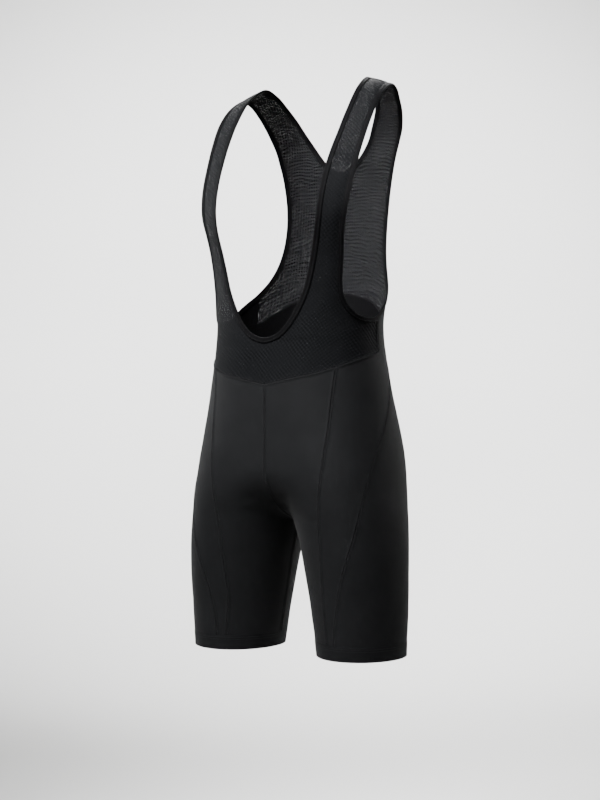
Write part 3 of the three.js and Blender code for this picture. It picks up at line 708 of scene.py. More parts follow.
def lycra_relief(points):
    soft = 0.5 * noise_at(points, 42) + 0.16 * noise_at(points, 13, 5)
    return seam_relief(*nearest_seam(points)) + creased(points) + soft


def hem_relief(points):
    soft = 0.3 * noise_at(points, 30, 9)
    sewn = 0.22 * (np.exp(-((points[:, 2] - 16.2) / 0.9) ** 2) + np.exp(-((points[:, 2] - 19.6) / 0.9) ** 2))
    top = 0.35 * np.exp(-((points[:, 2] - HEM_BAND) / 0.8) ** 2)
    return soft - sewn - top


# The mesh is held flat under its bindings. Its back ripples nearly level, most of all where the
# armholes and the neck hold it back; the front is pulled smooth
BOUND_LINES = {which: edge_pair(which, np.linspace(0, end, 900))[1] for which, end in (("neck", LAST), ("arm", UNDERARM))}
bound_points = np.concatenate([line * way for line in BOUND_LINES.values() for way in (1, ACROSS)])
bound_tree = kdtree.KDTree(len(bound_points))
for i, p in enumerate(bound_points):
    bound_tree.insert(p, i)
bound_tree.balance()
RIPPLE = {"pitch": 6.0, "back": 0.76, "near": 18.0}


def mesh_relief(points):
    bound = np.array([bound_tree.find(p)[2] for p in points])
    held = smooth((bound - 1.5) / 5)
    wander = noise_at(points, 55, 2) + 0.35 * noise_at(points, 17, 4)
    patch = np.clip(noise_at(points, 34, 7) + 0.75, 0.4, 1)
    level = np.sin((points[:, 2] - 0.7 * points[:, 1] + 10 * wander) * 2 * np.pi / RIPPLE["pitch"])
    near = 1 + 0.8 * np.exp(-bound / RIPPLE["near"])
    ripple = RIPPLE["back"] * level * near * patch * smooth((points[:, 1] - 20) / 60)
    return held * (seam_relief(*nearest_seam(points)) * 0.8 + ripple + 0.6 * noise_at(points, 40, 3))


print("creases", len(CREASES))

# %% [markdown]
# Now a panel can be built. A wall has an outer and an inner face and a rim between them.
# Its open edge is drawn in by a hair, so two panels lie side by side at a seam and never cross.
# The mesh is too thin for a wall and would hide its own holes, so it is a single sheet.

# %% Building a piece of cloth
SEAM_GAP = 0.03
ORIGIN = np.array([0, SHOULDER_Y, SHOULDER_Z])


def welded(grids, normals):
    """Points, directions, faces and flat coordinates of a piece, with touching grids joined."""
    points = np.concatenate([g.reshape(-1, 3) for g in grids])
    out = np.concatenate([n.reshape(-1, 3) for n in normals])
    _, first, where = np.unique(keys_of(points), return_index=True, return_inverse=True)
    faces, flats, start = [], [], 0
    for grid in grids:
        rows, columns = grid.shape[:2]
        index = where[start:start + rows * columns].reshape(rows, columns)
        u = np.concatenate([np.zeros((rows, 1)), np.cumsum(np.linalg.norm(np.diff(grid, axis=1), axis=2), axis=1)], 1)
        v = grid[..., 2] - CROTCH_Z
        if grid is bib_front_grid or grid.shape == bib_back_grid.shape:
            v = np.concatenate([np.zeros((1, columns)), np.cumsum(np.linalg.norm(np.diff(grid, axis=0), axis=2), axis=0)], 0)
        flat = np.stack([u, v], -1) / 1000
        corners = [(slice(0, -1), slice(0, -1)), (slice(0, -1), slice(1, None)), (slice(1, None), slice(1, None)), (slice(1, None), slice(0, -1))]
        faces.append(np.stack([index[c] for c in corners], -1).reshape(-1, 4))
        flats.append(np.stack([flat[c] for c in corners], -2).reshape(-1, 4, 2))
        start += rows * columns
    return points[first], out[first], np.concatenate(faces), np.concatenate(flats)


def open_edges(faces):
    pairs = np.concatenate([np.stack([faces[:, k], faces[:, (k + 1) % 4]], 1) for k in range(4)])
    pairs = pairs[pairs[:, 0] != pairs[:, 1]]
    code = pairs[:, 0] * 10_000_000 + pairs[:, 1]
    back = pairs[:, 1] * 10_000_000 + pairs[:, 0]
    return pairs[~np.isin(code, back)]


def mesh_object(name, points, faces, flats=None, outer=None):
    """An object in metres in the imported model's frame; faces may repeat a corner to be triangles.
    The first faces, as many as outer says, take the first finish and the rest take the second."""
    mesh = bpy.data.meshes.new(name)
    trimmed, kept, finishes = [], [], []
    for n, face in enumerate(faces.tolist() if hasattr(faces, "tolist") else faces):
        corners = [k for k in range(len(face)) if face[k] != face[k - 1]]
        if len(corners) > 2:
            trimmed.append([face[k] for k in corners])
            finishes.append(int(outer is not None and n >= outer))
            kept.extend((n, k) for k in corners)
    mesh.from_pydata(((points - ORIGIN) / 1000).tolist(), [], trimmed)
    if flats is not None:
        layer = mesh.uv_layers.new(name="flat cloth")
        n, k = np.array(kept).T
        layer.data.foreach_set("uv", flats[n, k].astype(np.float32).reshape(-1))
    mesh.polygons.foreach_set("material_index", finishes)
    mesh.shade_smooth()
    mesh.validate()
    made = bpy.data.objects.new(name, mesh)
    bpy.context.scene.collection.objects.link(made)
    return made


def cloth(name, grids, normals, wall, relief):
    """A piece of cloth with its wall; wall 0 makes a single sheet."""
    points, out, faces, flats = welded(grids, normals)
    edges = open_edges(faces)
    push, count = np.zeros_like(points), np.zeros(len(points))
    for p, q in ((0, 1), (1, 0)):
        along = unit(points[edges[:, 1]] - points[edges[:, 0]])
        inward = unit(np.cross(out[edges[:, p]], along))
        np.add.at(push, edges[:, p], inward)
        np.add.at(count, edges[:, p], 1)
    push = unit(push) * (SEAM_GAP / 2) * (count > 0)[:, None]
    high = relief(points)[:, None]
    outer = points + push + out * (wall / 2 + high)
    if not wall:
        return mesh_object(name, outer, faces, flats)
    inner = points + push + out * (high * 0.6 - wall / 2)
    size = len(points)
    rim = np.stack([edges[:, 0], edges[:, 0] + size, edges[:, 1] + size, edges[:, 1]], 1)
    both = np.concatenate([faces, faces[:, ::-1] + size, rim])
    rim_flats = np.zeros((len(rim), 4, 2))
    return mesh_object(name, np.concatenate([outer, inner]), both, np.concatenate([flats, flats[:, ::-1], rim_flats]), len(faces))


def mirrored(grids):
    return [(g * ACROSS)[:, ::-1] for g in grids]


LYCRA_WALL, BAND_WALL = 1.2, 1.9
PIECES = {}
for name, wall, relief in (("leg_front", LYCRA_WALL, lycra_relief), ("leg_side", LYCRA_WALL, lycra_relief),
                           ("leg_back", LYCRA_WALL, lycra_relief), ("hem_band", BAND_WALL, hem_relief)):
    sides = {"left": (LEFT[name], NORMALS[name]), "right": (mirrored(LEFT[name]), mirrored(NORMALS[name]))}
    for side, (grids, normals) in sides.items():
        PIECES[f"{name}_{side}"] = cloth(f"sewn_{name}_{side}", grids, normals, wall, relief)
for name in ("bib_front", "bib_back"):
    grids, normals = LEFT[name] + mirrored(LEFT[name]), NORMALS[name] + mirrored(NORMALS[name])
    PIECES[name] = cloth(f"sewn_{name}", grids, normals, 0, mesh_relief)
for name, piece in PIECES.items():
    print(name, len(piece.data.polygons), "faces")

# %% [markdown]
# The bindings are strips of elastic folded in half over the raw edge and sewn through. A folded strip
# is drawn once as a section, two leaves and a round fold, and carried along the edge. A slight gathering
# every few millimetres shows that the elastic was stretched while it was sewn on.

# %% Folded bindings
LEAF, FOLD = 0.55, 1.02
OVERLAP = 1.3
GATHER = {"every": 4.6, "height": 0.09}


def folded_section():
    """Section of a folded strip: (how far past the seam, how far out, how far along the fold)."""
    bend = np.linspace(-math.pi / 2, math.pi / 2, 9)
    reach = BINDING - FOLD - LEAF / 2
    leaf = np.linspace(-OVERLAP, reach, 7)[:-1]
    sag = 0.10 * np.sin(np.linspace(0, math.pi, 6))
    middle = np.concatenate([
        np.stack([leaf, -FOLD + sag], 1),
        np.stack([reach + FOLD * np.cos(bend), FOLD * np.sin(bend)], 1),
        np.stack([leaf[::-1], FOLD - sag[::-1]], 1),
    ])
    way = unit(np.gradient(middle, axis=0))
    side = np.stack([way[:, 1], -way[:, 0]], 1)
    thick = np.full(len(middle), LEAF / 2)
    thick[[0, -1]] *= 0.45
    ring = np.concatenate([middle + side * thick[:, None], (middle - side * thick[:, None])[::-1]])
    return ring, middle


def binding(name, which, at, mirror=None):
    finished, seam, out = edge_pair(which, at)
    if mirror is not None:
        finished, seam, out = (np.concatenate([v, (v * ACROSS)[::-1][1:-1]]) for v in (finished, seam, out))
    if mirror is False:
        finished, seam, out = finished[:len(at)] * ACROSS, seam[:len(at)] * ACROSS, out[:len(at)] * ACROSS
    outward = unit(finished - seam)
    out = unit(out - (out * outward).sum(1, keepdims=True) * outward)
    ring, middle = folded_section()
    s = np.concatenate([[0], np.cumsum(np.linalg.norm(np.diff(finished, axis=0), axis=1))])
    gather = GATHER["height"] * np.sin(s * 2 * np.pi / GATHER["every"] + np.sin(s / 31))
    waver = 0.25 * np.sin(s / 19 + 1.3) + 0.15 * np.sin(s / 7.3)
    swell = 1 + gather[:, None] * np.sign(ring[None, :, 1]) * 0.9
    rows = seam[:, None] + outward[:, None] * (ring[None, :, 0, None] + waver[:, None, None] * 0.3)
    rows = rows + out[:, None] * (ring[None, :, 1] * swell)[..., None]
    n, m = rows.shape[:2]
    index = np.arange(n * m).reshape(n, m)
    closed = np.concatenate([index, index[:1]])
    closed = np.concatenate([closed, closed[:, :1]], 1)
    corners = [closed[:-1, :-1], closed[:-1, 1:], closed[1:, 1:], closed[1:, :-1]]
    faces = np.stack(corners, -1).reshape(-1, 4)
    round_section = np.concatenate([[0], np.cumsum(np.linalg.norm(np.diff(np.concatenate([ring, ring[:1]]), axis=0), axis=1))])
    along = np.concatenate([s, [s[-1] + np.linalg.norm(finished[0] - finished[-1])]])
    flat = np.stack(np.meshgrid(round_section, along), -1) / 1000
    flats = np.stack([flat[:-1, :-1], flat[:-1, 1:], flat[1:, 1:], flat[1:, :-1]], -2).reshape(-1, 4, 2)
    a, b, c = rows[0, 0], rows[0, 1], rows[1, 0]
    turned = np.cross(b - a, c - a) @ (a - rows[0].mean(0)) < 0
    if turned:
        faces, flats = faces[:, ::-1], flats[:, ::-1]
    made = mesh_object(name, rows.reshape(-1, 3), faces, flats)
    return made, float(along[-1])


neck_at = np.linspace(0, LAST, LAST * 18 + 1)
arm_at = np.linspace(0, UNDERARM, UNDERARM * 18 + 1)[:-1]
BINDING_LENGTH = {}
for name, arguments in {
    "neck_binding": ("neck", neck_at, True),
    "armhole_binding_left": ("arm", arm_at),
    "armhole_binding_right": ("arm", arm_at, False),
}.items():
    PIECES[name], BINDING_LENGTH[name] = binding("folded_" + name, *arguments)
    print(name, round(BINDING_LENGTH[name]), "mm long")

# %% [markdown]
# The stitching is what shows that this is sewn. Panels are flat-locked: two rows of needle thread with
# a looper thread that crosses between them. Hems have a double row of straight stitches, and bindings
# one row. Each stitch is a small spindle of thread, laid along the seam line and lifted clear of it.

# %% Stitches
THREAD = {"radius": 0.20, "sides": 5}


def spindles(starts, ends, out, radius, bow):
    """Threads from starts to ends that bow outward in the middle and dip at both ends."""
    rings = np.array([0.0, 0.22, 0.5, 0.78, 1.0])
    lift = bow * np.array([-1.0, 0.35, 1.0, 0.35, -1.0])
    thick = radius * np.array([0.35, 0.95, 1.0, 0.95, 0.35])
    way = unit(ends - starts)
    side = unit(np.cross(out, way))
    up = np.cross(way, side)
    turn = np.arange(THREAD["sides"]) * 2 * np.pi / THREAD["sides"]
    ring = np.cos(turn)[:, None, None] * side[None] + np.sin(turn)[:, None, None] * up[None]
    middle = starts[None] + (ends - starts)[None] * rings[:, None, None] + out[None] * lift[:, None, None]
    points = middle[:, None] + ring[None] * thick[:, None, None, None]
    points = np.moveaxis(points, 2, 0)
    n, r, k = points.shape[:3]
    index = np.arange(n * r * k).reshape(n, r, k)
    after = np.roll(index, -1, axis=2)
    sides = np.stack([index[:, :-1], after[:, :-1], after[:, 1:], index[:, 1:]], -1).reshape(-1, 4)
    caps = [index[:, 0, ::-1], index[:, -1]]
    return points.reshape(-1, 3), sides.tolist(), np.concatenate(caps).tolist()


def thread_object(name, batches):
    points, faces, start = [], [], 0
    for p, sides, caps in batches:
        points.append(p)
        faces.extend([i + start for i in face] for face in sides + caps)
        start += len(p)
    return mesh_object(name, np.concatenate(points), faces)


def at_length(line, s):
    pick = lambda values: np.stack([np.interp(s, line["s"], values[:, k]) for k in range(3)], 1)
    points, out = pick(line["points"]), unit(pick(line["out"]))
    way = unit(pick(np.gradient(line["points"], axis=0)))
    return points, out, unit(np.cross(out, way))


def beside(line, s, offset, height, face=1):
    points, out, across = at_length(line, s)
    place = points + across * offset
    if abs(offset) < 1e-6:
        lift = lycra_relief(place)[:, None]
    else:
        lift = lycra_relief(place)[:, None]
    return place + out * face * (LYCRA_WALL / 2 + height) + out * lift * (1 if face > 0 else 0.6), out * face


FLATLOCK = {"length": 2.5, "rows": 2.0, "gap": 0.35, "clear": 0.22}
SEAM_THREADS = {}


def flatlock(line, face=1, margin=2.0):
    total = line["s"][-1]
    count = max(2, int((total - 2 * margin) / FLATLOCK["length"]))
    s = np.linspace(margin, total - margin, count + 1)
    step = s[1] - s[0]
    batches = []
    rows = {}
    for offset in (-FLATLOCK["rows"], FLATLOCK["rows"]):
        rows[offset] = (beside(line, s[:-1] + FLATLOCK["gap"] / 2, offset, FLATLOCK["clear"], face),
                        beside(line, s[1:] - FLATLOCK["gap"] / 2, offset, FLATLOCK["clear"], face))
        (starts, out), (ends, _) = rows[offset]
        batches.append(spindles(starts, ends, out, THREAD["radius"], 0.10))
    near, far = -FLATLOCK["rows"] + 0.25, FLATLOCK["rows"] - 0.25
    a, out = beside(line, s[:-1], near, FLATLOCK["clear"] - 0.02, face)
    b, _ = beside(line, s[:-1] + step * 0.5, far, FLATLOCK["clear"] - 0.02, face)
    c, _ = beside(line, s[1:] - step * 0.02, near, FLATLOCK["clear"] - 0.02, face)
    batches.append(spindles(a, b, out, THREAD["radius"] * 0.9, 0.04))
    batches.append(spindles(b, c, out, THREAD["radius"] * 0.9, 0.04))
    return batches


left_batches = [b for name in ("front", "thigh", "inseam", "side", "back_edge", "shoulder") for b in flatlock(SEAM_LINES[name])]
right_batches = [b for name in ("front", "thigh", "inseam", "side", "back_edge", "shoulder") for b in flatlock(flipped(SEAM_LINES[name]))]
centre_batches = [b for name in ("belly", "seat") for b in flatlock(SEAM_LINES[name])]
for name in ("waist", "arch"):
    centre_batches += flatlock(SEAM_LINES[name]) + flatlock(flipped(SEAM_LINES[name]))
centre_batches += flatlock(SEAM_LINES["arch"], -1) + flatlock(flipped(SEAM_LINES["arch"]), -1)
PIECES["thread_left"] = thread_object("flatlock_thread_left", left_batches)
PIECES["thread_right"] = thread_object("flatlock_thread_right", right_batches)
PIECES["thread_centre"] = thread_object("flatlock_thread_centre", centre_batches)
for name in ("thread_left", "thread_right", "thread_centre"):
    print(name, len(PIECES[name].data.polygons), "faces")

# %% Double stitching of the hems and the single row on the bindings
HEM_STITCH = {"length": 2.6, "gap": 0.7, "heights": (16.2, 19.6)}
BINDING_STITCH = {"length": 2.4, "gap": 0.7, "inside": 1.2}


def hem_stitches(side):
    batches = []
    for height in HEM_STITCH["heights"]:
        ring = evenly(*line_on_body(np.linspace(0, 1, 500), np.full(500, height)))
        ring = ring if side == "left" else flipped(ring)
        s = np.linspace(0, ring["s"][-1], int(ring["s"][-1] / HEM_STITCH["length"]))
        half = HEM_STITCH["gap"] / 2
        ends = []
        for at in (s[:-1] + half, s[1:] - half):
            points, out, _ = at_length(ring, at)
            ends.append(points + out * (BAND_WALL / 2 + 0.16 + hem_relief(points)[:, None]))
        batches.append(spindles(ends[0], ends[1], at_length(ring, s[:-1])[1], THREAD["radius"], 0.10))
    return batches


def binding_stitches(which, at, flip):
    finished, seam, out = edge_pair(which, at)
    way = unit(finished - seam)
    top = FOLD + LEAF / 2 + 0.10
    line = evenly(seam + way * BINDING_STITCH["inside"] + out * top, out, 0.8)
    line = flipped(line) if flip else line
    s = np.linspace(0, line["s"][-1], int(line["s"][-1] / BINDING_STITCH["length"]))
    half = BINDING_STITCH["gap"] / 2
    a, out, _ = at_length(line, s[:-1] + half)
    b = at_length(line, s[1:] - half)[0]
    return [spindles(a, b, out, THREAD["radius"], 0.08)]


PIECES["thread_hems"] = thread_object("hem_thread", hem_stitches("left") + hem_stitches("right"))
arm_line = np.linspace(0, UNDERARM, 900)
neck_line = np.linspace(0, LAST, 700)
PIECES["thread_bindings"] = thread_object(
    "binding_thread",
    [b for flip in (False, True) for which, at in (("neck", neck_line), ("arm", arm_line)) for b in binding_stitches(which, at, flip)],
)
print("hem and binding thread", len(PIECES["thread_hems"].data.polygons), len(PIECES["thread_bindings"].data.polygons))

# %% [markdown]
# Lycra looks almost flat black, but it is a knit: fine upright ribs of loops, with a soft bloom where
# the light grazes it. A node group makes the ribs from the flat-cloth coordinates, so they run up
# the leg as they do on the real panel, and every cloth in the scene can use it with its own spacing.

# %% Knit group
def group_socket(tree, name, direction, kind="NodeSocketFloat", value=None):
    made = tree.interface.new_socket(name=name, in_out=direction, socket_type=kind)
    if value is not None:
        made.default_value = value
    return made


class Maker:
    """Short calls that add nodes to a tree and join them."""

    def __init__(self, tree):
        self.tree = tree

    def node(self, kind, **settings):
        made = self.tree.nodes.new(kind)
        for key, value in settings.items():
            setattr(made, key, value)
        return made

    def join(self, source, target):
        self.tree.links.new(source, target)

    def value(self, target, source):
        if hasattr(source, "is_output"):
            self.join(source, target)
        else:
            target.default_value = source

    def math(self, operation, *values):
        made = self.node("ShaderNodeMath", operation=operation)
        for k, value in enumerate(values):
            self.value(made.inputs[k], value)
        return made.outputs[0]

    def range(self, value, low, high, to_low, to_high):
        made = self.node("ShaderNodeMapRange")
        for k, v in enumerate((value, low, high, to_low, to_high)):
            self.value(made.inputs[k], v)
        return made.outputs[0]


def knit_group():
    tree = bpy.data.node_groups.new("knit ribs", "ShaderNodeTree")
    for name, value in (("Ribs per metre", 1000.0), ("Courses per metre", 900.0), ("Unevenness", 0.3)):
        group_socket(tree, name, "INPUT", value=value)
    for name in ("Height", "Tone"):
        group_socket(tree, name, "OUTPUT")
    make = Maker(tree)
    inputs, outputs = make.node("NodeGroupInput"), make.node("NodeGroupOutput")
    place = make.node("ShaderNodeUVMap", uv_map="flat cloth")
    apart = make.node("ShaderNodeSeparateXYZ")
    make.join(place.outputs[0], apart.inputs[0])
    turn_u = make.math("MULTIPLY", make.math("MULTIPLY", apart.outputs[0], inputs.outputs[0]), 2 * math.pi)
    turn_v = make.math("MULTIPLY", make.math("MULTIPLY", apart.outputs[1], inputs.outputs[1]), 2 * math.pi)
    rib = make.math("COSINE", turn_u)
    lean = make.math("SINE", make.math("ADD", turn_v, make.math("MULTIPLY", rib, 1.4)))
    height = make.math("ADD", make.math("MULTIPLY", rib, 0.6), make.math("MULTIPLY", lean, 0.4))
    cloud = make.node("ShaderNodeTexNoise", noise_dimensions="3D")
    space = make.node("ShaderNodeTexCoord")
    make.join(space.outputs["Object"], cloud.inputs["Vector"])
    cloud.inputs["Scale"].default_value = 34
    cloud.inputs["Detail"].default_value = 5
    fuzz = make.node("ShaderNodeTexNoise", noise_dimensions="3D")
    make.join(space.outputs["Object"], fuzz.inputs["Vector"])
    fuzz.inputs["Scale"].default_value = 900
    fuzz.inputs["Detail"].default_value = 2
    uneven = make.math("MULTIPLY", make.math("SUBTRACT", cloud.outputs[0], 0.5), inputs.outputs[2])
    speck = make.math("MULTIPLY", make.math("SUBTRACT", fuzz.outputs[0], 0.5), inputs.outputs[2])
    tone = make.math("ADD", make.math("ADD", make.math("MULTIPLY", height, 0.08), 1.0), make.math("ADD", uneven, speck))
    make.join(make.math("ADD", height, make.math("MULTIPLY", fuzz.outputs[0], 0.8)), outputs.inputs["Height"])
    make.join(tone, outputs.inputs["Tone"])
    return tree


def mesh_group():
    """Holes of a fine mesh knit: which points are open, and how high the threads stand."""
    tree = bpy.data.node_groups.new("mesh holes", "ShaderNodeTree")
    for name, value in (("Holes per metre", 500.0), ("Least open", 0.96), ("Most open", 0.90), ("Band spacing", 0.006), ("Slant", 0.0), ("Lean", 0.0)):
        group_socket(tree, name, "INPUT", value=value)
    for name in ("Cloth", "Height", "Band"):
        group_socket(tree, name, "OUTPUT")
    make = Maker(tree)
    inputs, outputs = make.node("NodeGroupInput"), make.node("NodeGroupOutput")
    place = make.node("ShaderNodeUVMap", uv_map="flat cloth")
    apart = make.node("ShaderNodeSeparateXYZ")
    make.join(place.outputs[0], apart.inputs[0])
    waves = []
    for axis in (0, 1):
        turn = make.math("MULTIPLY", make.math("MULTIPLY", apart.outputs[axis], inputs.outputs[0]), 2 * math.pi)
        waves.append(make.math("COSINE", turn))
    lattice = make.math("MULTIPLY", waves[0], waves[1])
    space = make.node("ShaderNodeTexCoord")
    cloud = make.node("ShaderNodeTexNoise", noise_dimensions="3D")
    make.join(space.outputs["Object"], cloud.inputs["Vector"])
    cloud.inputs["Scale"].default_value = 22
    cloud.inputs["Detail"].default_value = 3
    patch = make.node("ShaderNodeTexNoise", noise_dimensions="3D")
    make.join(space.outputs["Object"], patch.inputs["Vector"])
    patch.inputs["Scale"].default_value = 31
    strength = make.range(patch.outputs[0], 0.36, 0.62, 0.25, 1.0)
    drift = make.math("MULTIPLY", cloud.outputs[0], 5.0)
    solid = make.node("ShaderNodeSeparateXYZ")
    make.join(space.outputs["Object"], solid.inputs[0])
    cosine, sine = make.math("COSINE", inputs.outputs[4]), make.math("SINE", inputs.outputs[4])
    times = lambda axis, share: make.math("MULTIPLY", solid.outputs[axis], share)
    rise = make.math("ADD", make.math("ADD", times(2, cosine), times(0, sine)), times(1, inputs.outputs[5]))
    along = make.math("DIVIDE", rise, inputs.outputs[3])
    band = make.math("SINE", make.math("ADD", make.math("MULTIPLY", along, 2 * math.pi), make.math("MULTIPLY", drift, 3.0)))
    across = make.math("DIVIDE", make.math("SUBTRACT", times(0, cosine), times(2, sine)), inputs.outputs[3])
    weft = make.math("SINE", make.math("MULTIPLY", across, 2.6 * math.pi))
    both = make.math("ADD", make.math("MULTIPLY", band, 0.65), make.math("MULTIPLY", weft, 0.35))
    both = make.math("MULTIPLY", both, strength)
    share = make.math("ADD", make.math("MULTIPLY", both, 0.5), 0.5)
    limit = make.math("ADD", make.math("MULTIPLY", share, make.math("SUBTRACT", inputs.outputs[2], inputs.outputs[1])), inputs.outputs[1])
    make.join(make.math("LESS_THAN", lattice, limit), outputs.inputs["Cloth"])
    make.join(make.math("SUBTRACT", 1.0, make.math("MAXIMUM", lattice, 0.0)), outputs.inputs["Height"])
    make.join(share, outputs.inputs["Band"])
    return tree


KNIT, HOLES = knit_group(), mesh_group()
print("groups", KNIT.name, "and", HOLES.name)

# %% [markdown]
# Few finishes cover the garment: the lycra of the shorts and its duller wrong side, the same lycra doubled
# at the hems, the open mesh of the bib and the smoother elastic of the bindings. Thread has a little more gloss.
# All are nearly black, so what sets them apart is how rough they are and how much they bloom. The wrong side
# is also painted much darker than the face. That is painted shade for the inside of the shorts, where little light
# falls.

# %% Finishes
def finish(name, colour, roughness, sheen, ribs, courses, depth, unevenness, specular=0.5):
    material = bpy.data.materials.new(name)
    material.use_nodes = True
    tree = material.node_tree
    make = Maker(tree)
    shader = tree.nodes["Principled BSDF"]
    shader.inputs["Roughness"].default_value = roughness
    shader.inputs["Sheen Weight"].default_value = sheen
    shader.inputs["Sheen Roughness"].default_value = 0.45
    shader.inputs["Specular IOR Level"].default_value = specular
    knit = make.node("ShaderNodeGroup", node_tree=KNIT)
    for k, value in enumerate((ribs, courses, unevenness)):
        knit.inputs[k].default_value = value
    mix = make.node("ShaderNodeMix", data_type="RGBA", blend_type="MULTIPLY")
    mix.inputs["Factor"].default_value = 1.0
    mix.inputs[6].default_value = (*colour, 1)
    make.join(knit.outputs["Tone"], mix.inputs[7])
    make.join(mix.outputs[2], shader.inputs["Base Color"])
    bump = make.node("ShaderNodeBump")
    bump.inputs["Strength"].default_value = depth
    bump.inputs["Distance"].default_value = 0.00012
    make.join(knit.outputs["Height"], bump.inputs["Height"])
    make.join(bump.outputs[0], shader.inputs["Normal"])
    return material, shader, make, mix, bump


lycra = finish("black lycra knit", (0.0019, 0.0020, 0.0022), 0.70, 0.008, 1150, 950, 0.5, 0.45, 0.03)[0]
band = finish("doubled lycra hem", (0.0016, 0.0017, 0.0019), 0.70, 0.008, 1150, 950, 0.5, 0.45, 0.03)[0]
# The wrong side's colour is painted shade. It is far darker than the lycra's face, so the insides seen through the
# scoop and the armholes look shaded. Its higher roughness and weaker bloom are the real duller back of the knit.
wrong_side_painted_shade = finish("lycra wrong side with painted shade", (0.0007, 0.0007, 0.0008), 0.80, 0.002, 1150, 950, 0.4, 0.40, 0.01)[0]
elastic = finish("black elastic binding", (0.0006, 0.0006, 0.0007), 0.65, 0.001, 1500, 700, 0.6, 0.20, 0.015)[0]
thread = finish("black polyester thread", (0.0036, 0.0036, 0.0040), 0.50, 0.004, 3000, 3000, 0.2, 0.20, 0.04)[0]


def mesh_finish(name, least_open, most_open, slant, lean, spacing, contrast, depth):
    """The open mesh: holes through it, and a grain of closer and opener bands."""
    material, shader, make, mix, bump = finish(name, (0.0012, 0.0013, 0.0015), 0.70, 0.004, 900, 900, 0.4, 0.35, 0.015)
    holes = make.node("ShaderNodeGroup", node_tree=HOLES)
    for k, value in enumerate((480, least_open, most_open, spacing, slant, lean)):
        holes.inputs[k].default_value = value
    make.join(holes.outputs["Cloth"], shader.inputs["Alpha"])
    tint = make.node("ShaderNodeMix", data_type="RGBA", blend_type="MULTIPLY")
    tint.inputs["Factor"].default_value = 1.0
    make.join(mix.outputs[2], tint.inputs[6])
    make.join(make.range(holes.outputs["Band"], 0.0, 1.0, 1 - contrast, 1 + contrast * 1.3), tint.inputs[7])
    make.join(tint.outputs[2], shader.inputs["Base Color"])
    raised_band = make.math("ADD", make.math("MULTIPLY", holes.outputs["Height"], 0.25), holes.outputs["Band"])
    make.join(raised_band, bump.inputs["Height"])
    bump.inputs["Strength"].default_value = 1.0
    bump.inputs["Distance"].default_value = depth
    return material


mesh_front = mesh_finish("black open mesh, front", 0.990, 0.974, 0.85, 0.5, 0.0052, 0.55, 0.0007)
mesh_back = mesh_finish("black open mesh, back", 0.990, 0.970, 0.0, -0.7, 0.0056, 0.82, 0.0015)
print("finishes", [m.name for m in (lycra, band, wrong_side_painted_shade, elastic, thread, mesh_front, mesh_back)])

# %% [markdown]
# Each piece now takes the place of its plain solid and gets its finish. The worn area of each panel, and the
# width of the bib along its first row, are measured, but nothing uses them.


def area_of(grids):
    return sum(np.linalg.norm(face_normals(g), axis=-1).sum() / 2 for g in grids)


def dress(piece, node, material, inside=None):
    for each in (material, inside or material):
        piece.data.materials.append(each)
    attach(piece, "root")
    if node:
        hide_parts(node)


for name, slot, material, cloth_name in (
    ("leg_front", "lycra", lycra, "lycra"), ("leg_side", "lycra", lycra, "lycra"),
    ("leg_back", "lycra", lycra, "lycra"), ("hem_band", "band", band, "band"),
    ("bib_front", "mesh", mesh_front, "mesh"), ("bib_back", "mesh", mesh_back, "mesh"),
):
    grids = LEFT[name]
    area = area_of(grids)
    if name.startswith("bib"):
        wide, area = np.linalg.norm(np.diff(grids[0][0], axis=0), axis=1).sum() * 2, area * 2
    for node in [name] if name in PIECES else [name + "_left", name + "_right"]:
        # The inner faces of the walls take the wrong side, whose dark colour is painted shade.
        dress(PIECES[node], node, material, None if cloth_name == "mesh" else wrong_side_painted_shade)

for name, length in BINDING_LENGTH.items():
    dress(PIECES[name], name, elastic)
for name in ("thread_left", "thread_right", "thread_centre", "thread_hems", "thread_bindings"):
    dress(PIECES[name], None, thread)

# %% [markdown]
# The studio is a pale floor that curves up into a wall all round, as on a photographer's sweep, so
# no edge or corner shows behind the shorts. They hang clear of the floor, as in the photograph.
# A floor faces the light from above and would look paler than the wall, so its paper is a little darker.

# %% Floor and wall
FLOOR_Z = -1.55
STUDIO = {"radius": 4.2, "curve": 1.6, "height": 4.2}


def sweep():
    r, c = STUDIO["radius"], STUDIO["curve"]
    bend = np.linspace(0, math.pi / 2, 20)[1:]
    profile = [(0.0, 0.0), (0.8, 0.0), (1.6, 0.0), (r - c, 0.0)]
    profile += [(r - c + c * math.sin(a), c - c * math.cos(a)) for a in bend]
    profile += [(r, h) for h in np.linspace(c, STUDIO["height"], 6)[1:]]
    turns = 96
    points = [(q * math.cos(2 * math.pi * k / turns), q * math.sin(2 * math.pi * k / turns), FLOOR_Z + h) for q, h in profile[1:] for k in range(turns)]
    points.append((0.0, 0.0, FLOOR_Z))
    faces = [[k, (k + 1) % turns, len(points) - 1] for k in range(turns)]
    for j in range(len(profile) - 2):
        for k in range(turns):
            a, b = j * turns + k, j * turns + (k + 1) % turns
            faces.append([a, a + turns, b + turns, b])
    mesh = bpy.data.meshes.new("pale floor")
    mesh.from_pydata(points, [], faces)
    mesh.shade_smooth()
    made = bpy.data.objects.new("pale_floor", mesh)
    bpy.context.scene.collection.objects.link(made)
    return made


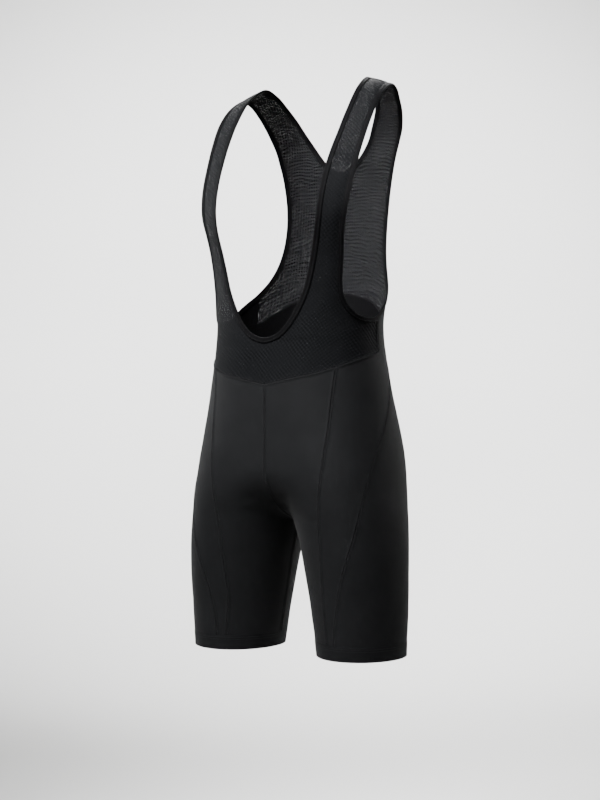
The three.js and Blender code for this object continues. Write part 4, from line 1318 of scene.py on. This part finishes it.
floor = sweep()
paper = bpy.data.materials.new("pale paper")
paper.use_nodes = True
make = Maker(paper.node_tree)
place, height = make.node("ShaderNodeTexCoord"), make.node("ShaderNodeSeparateXYZ")
make.join(place.outputs["Object"], height.inputs[0])
paper_colour = make.node("ShaderNodeMix", data_type="RGBA")
paper_colour.inputs[6].default_value = (0.66, 0.66, 0.655, 1)
paper_colour.inputs[7].default_value = (0.80, 0.80, 0.795, 1)
make.join(make.range(height.outputs[2], FLOOR_Z, FLOOR_Z + 1.2, 0.0, 1.0), paper_colour.inputs["Factor"])
make.join(paper_colour.outputs[2], paper.node_tree.nodes["Principled BSDF"].inputs["Base Color"])
paper.node_tree.nodes["Principled BSDF"].inputs["Roughness"].default_value = 0.9
paper.node_tree.nodes["Principled BSDF"].inputs["Specular IOR Level"].default_value = 0.1
floor.data.materials.append(paper)
print("floor", FLOOR_Z, "m, wall", STUDIO["radius"], "m away")

# %% [markdown]
# The light in the photograph is soft and even, with its strongest part in front and to the left of
# the camera: the front of the far leg is palest and the near side is darkest.
# A wide area light stands there, a weaker one fills, two behind draw the pale edges of the legs,
# a third shows the back, and one is thrown on the wall.

# %% Lights
def area_light(name, place, target, size, power, spread=180):
    data = bpy.data.lights.new(name, "AREA")
    data.shape = "DISK"
    data.size = size
    data.energy = power
    data.spread = math.radians(spread)
    made = bpy.data.objects.new(name, data)
    bpy.context.scene.collection.objects.link(made)
    made.location = place
    made.rotation_mode = "QUATERNION"
    made.rotation_quaternion = (Vector(target) - Vector(place)).to_track_quat("-Z", "Y")
    return made


RIGHT, AHEAD = Vector((0.866, 0.5, 0)), Vector((-0.5, 0.866, 0))
MIDDLE = Vector((0, -0.03, -0.45))
HIGH = Vector((0, -0.03, -0.22))
key = area_light("key light", MIDDLE - RIGHT * 1.0 - AHEAD * 1.15 + Vector((0, 0, 1.6)), HIGH, 1.1, 78, 58)
fill = area_light("fill light", MIDDLE + RIGHT * 1.5 - AHEAD * 2.3 + Vector((0, 0, 0.6)), MIDDLE, 1.6, 8)
for word, way in (("left", -1.0), ("right", 1.0)):
    area_light(f"{word} edge light", MIDDLE + RIGHT * 1.7 * way + AHEAD * 1.3 + Vector((0, 0, 0.7)), MIDDLE, 0.8, 4, 58)
back_light = area_light("back light", MIDDLE + AHEAD * 1.9 + Vector((0, 0, 1.75)), MIDDLE, 0.9, 17, 60)
glow_data = bpy.data.lights.new("wall light", "SPOT")
glow_data.energy = 2000
glow_data.spot_size = math.radians(78)
glow_data.spot_blend = 1.0
glow_data.shadow_soft_size = 0.3
wall_light = bpy.data.objects.new("wall light", glow_data)
bpy.context.scene.collection.objects.link(wall_light)
wall_light.location = MIDDLE + AHEAD * 0.4 + Vector((0, 0, 2.0))
wall_light.rotation_mode = "QUATERNION"
wall_light.rotation_quaternion = (AHEAD * 3.8 + Vector((0, 0, -2.0))).to_track_quat("-Z", "Y")

world = bpy.data.worlds.new("studio air")
bpy.context.scene.world = world
world.use_nodes = True
world.node_tree.nodes["Background"].inputs["Color"].default_value = (1.0, 1.0, 1.0, 1)
world.node_tree.nodes["Background"].inputs["Strength"].default_value = 0.95
print("lights", [o.name for o in (key, fill, back_light, wall_light)])
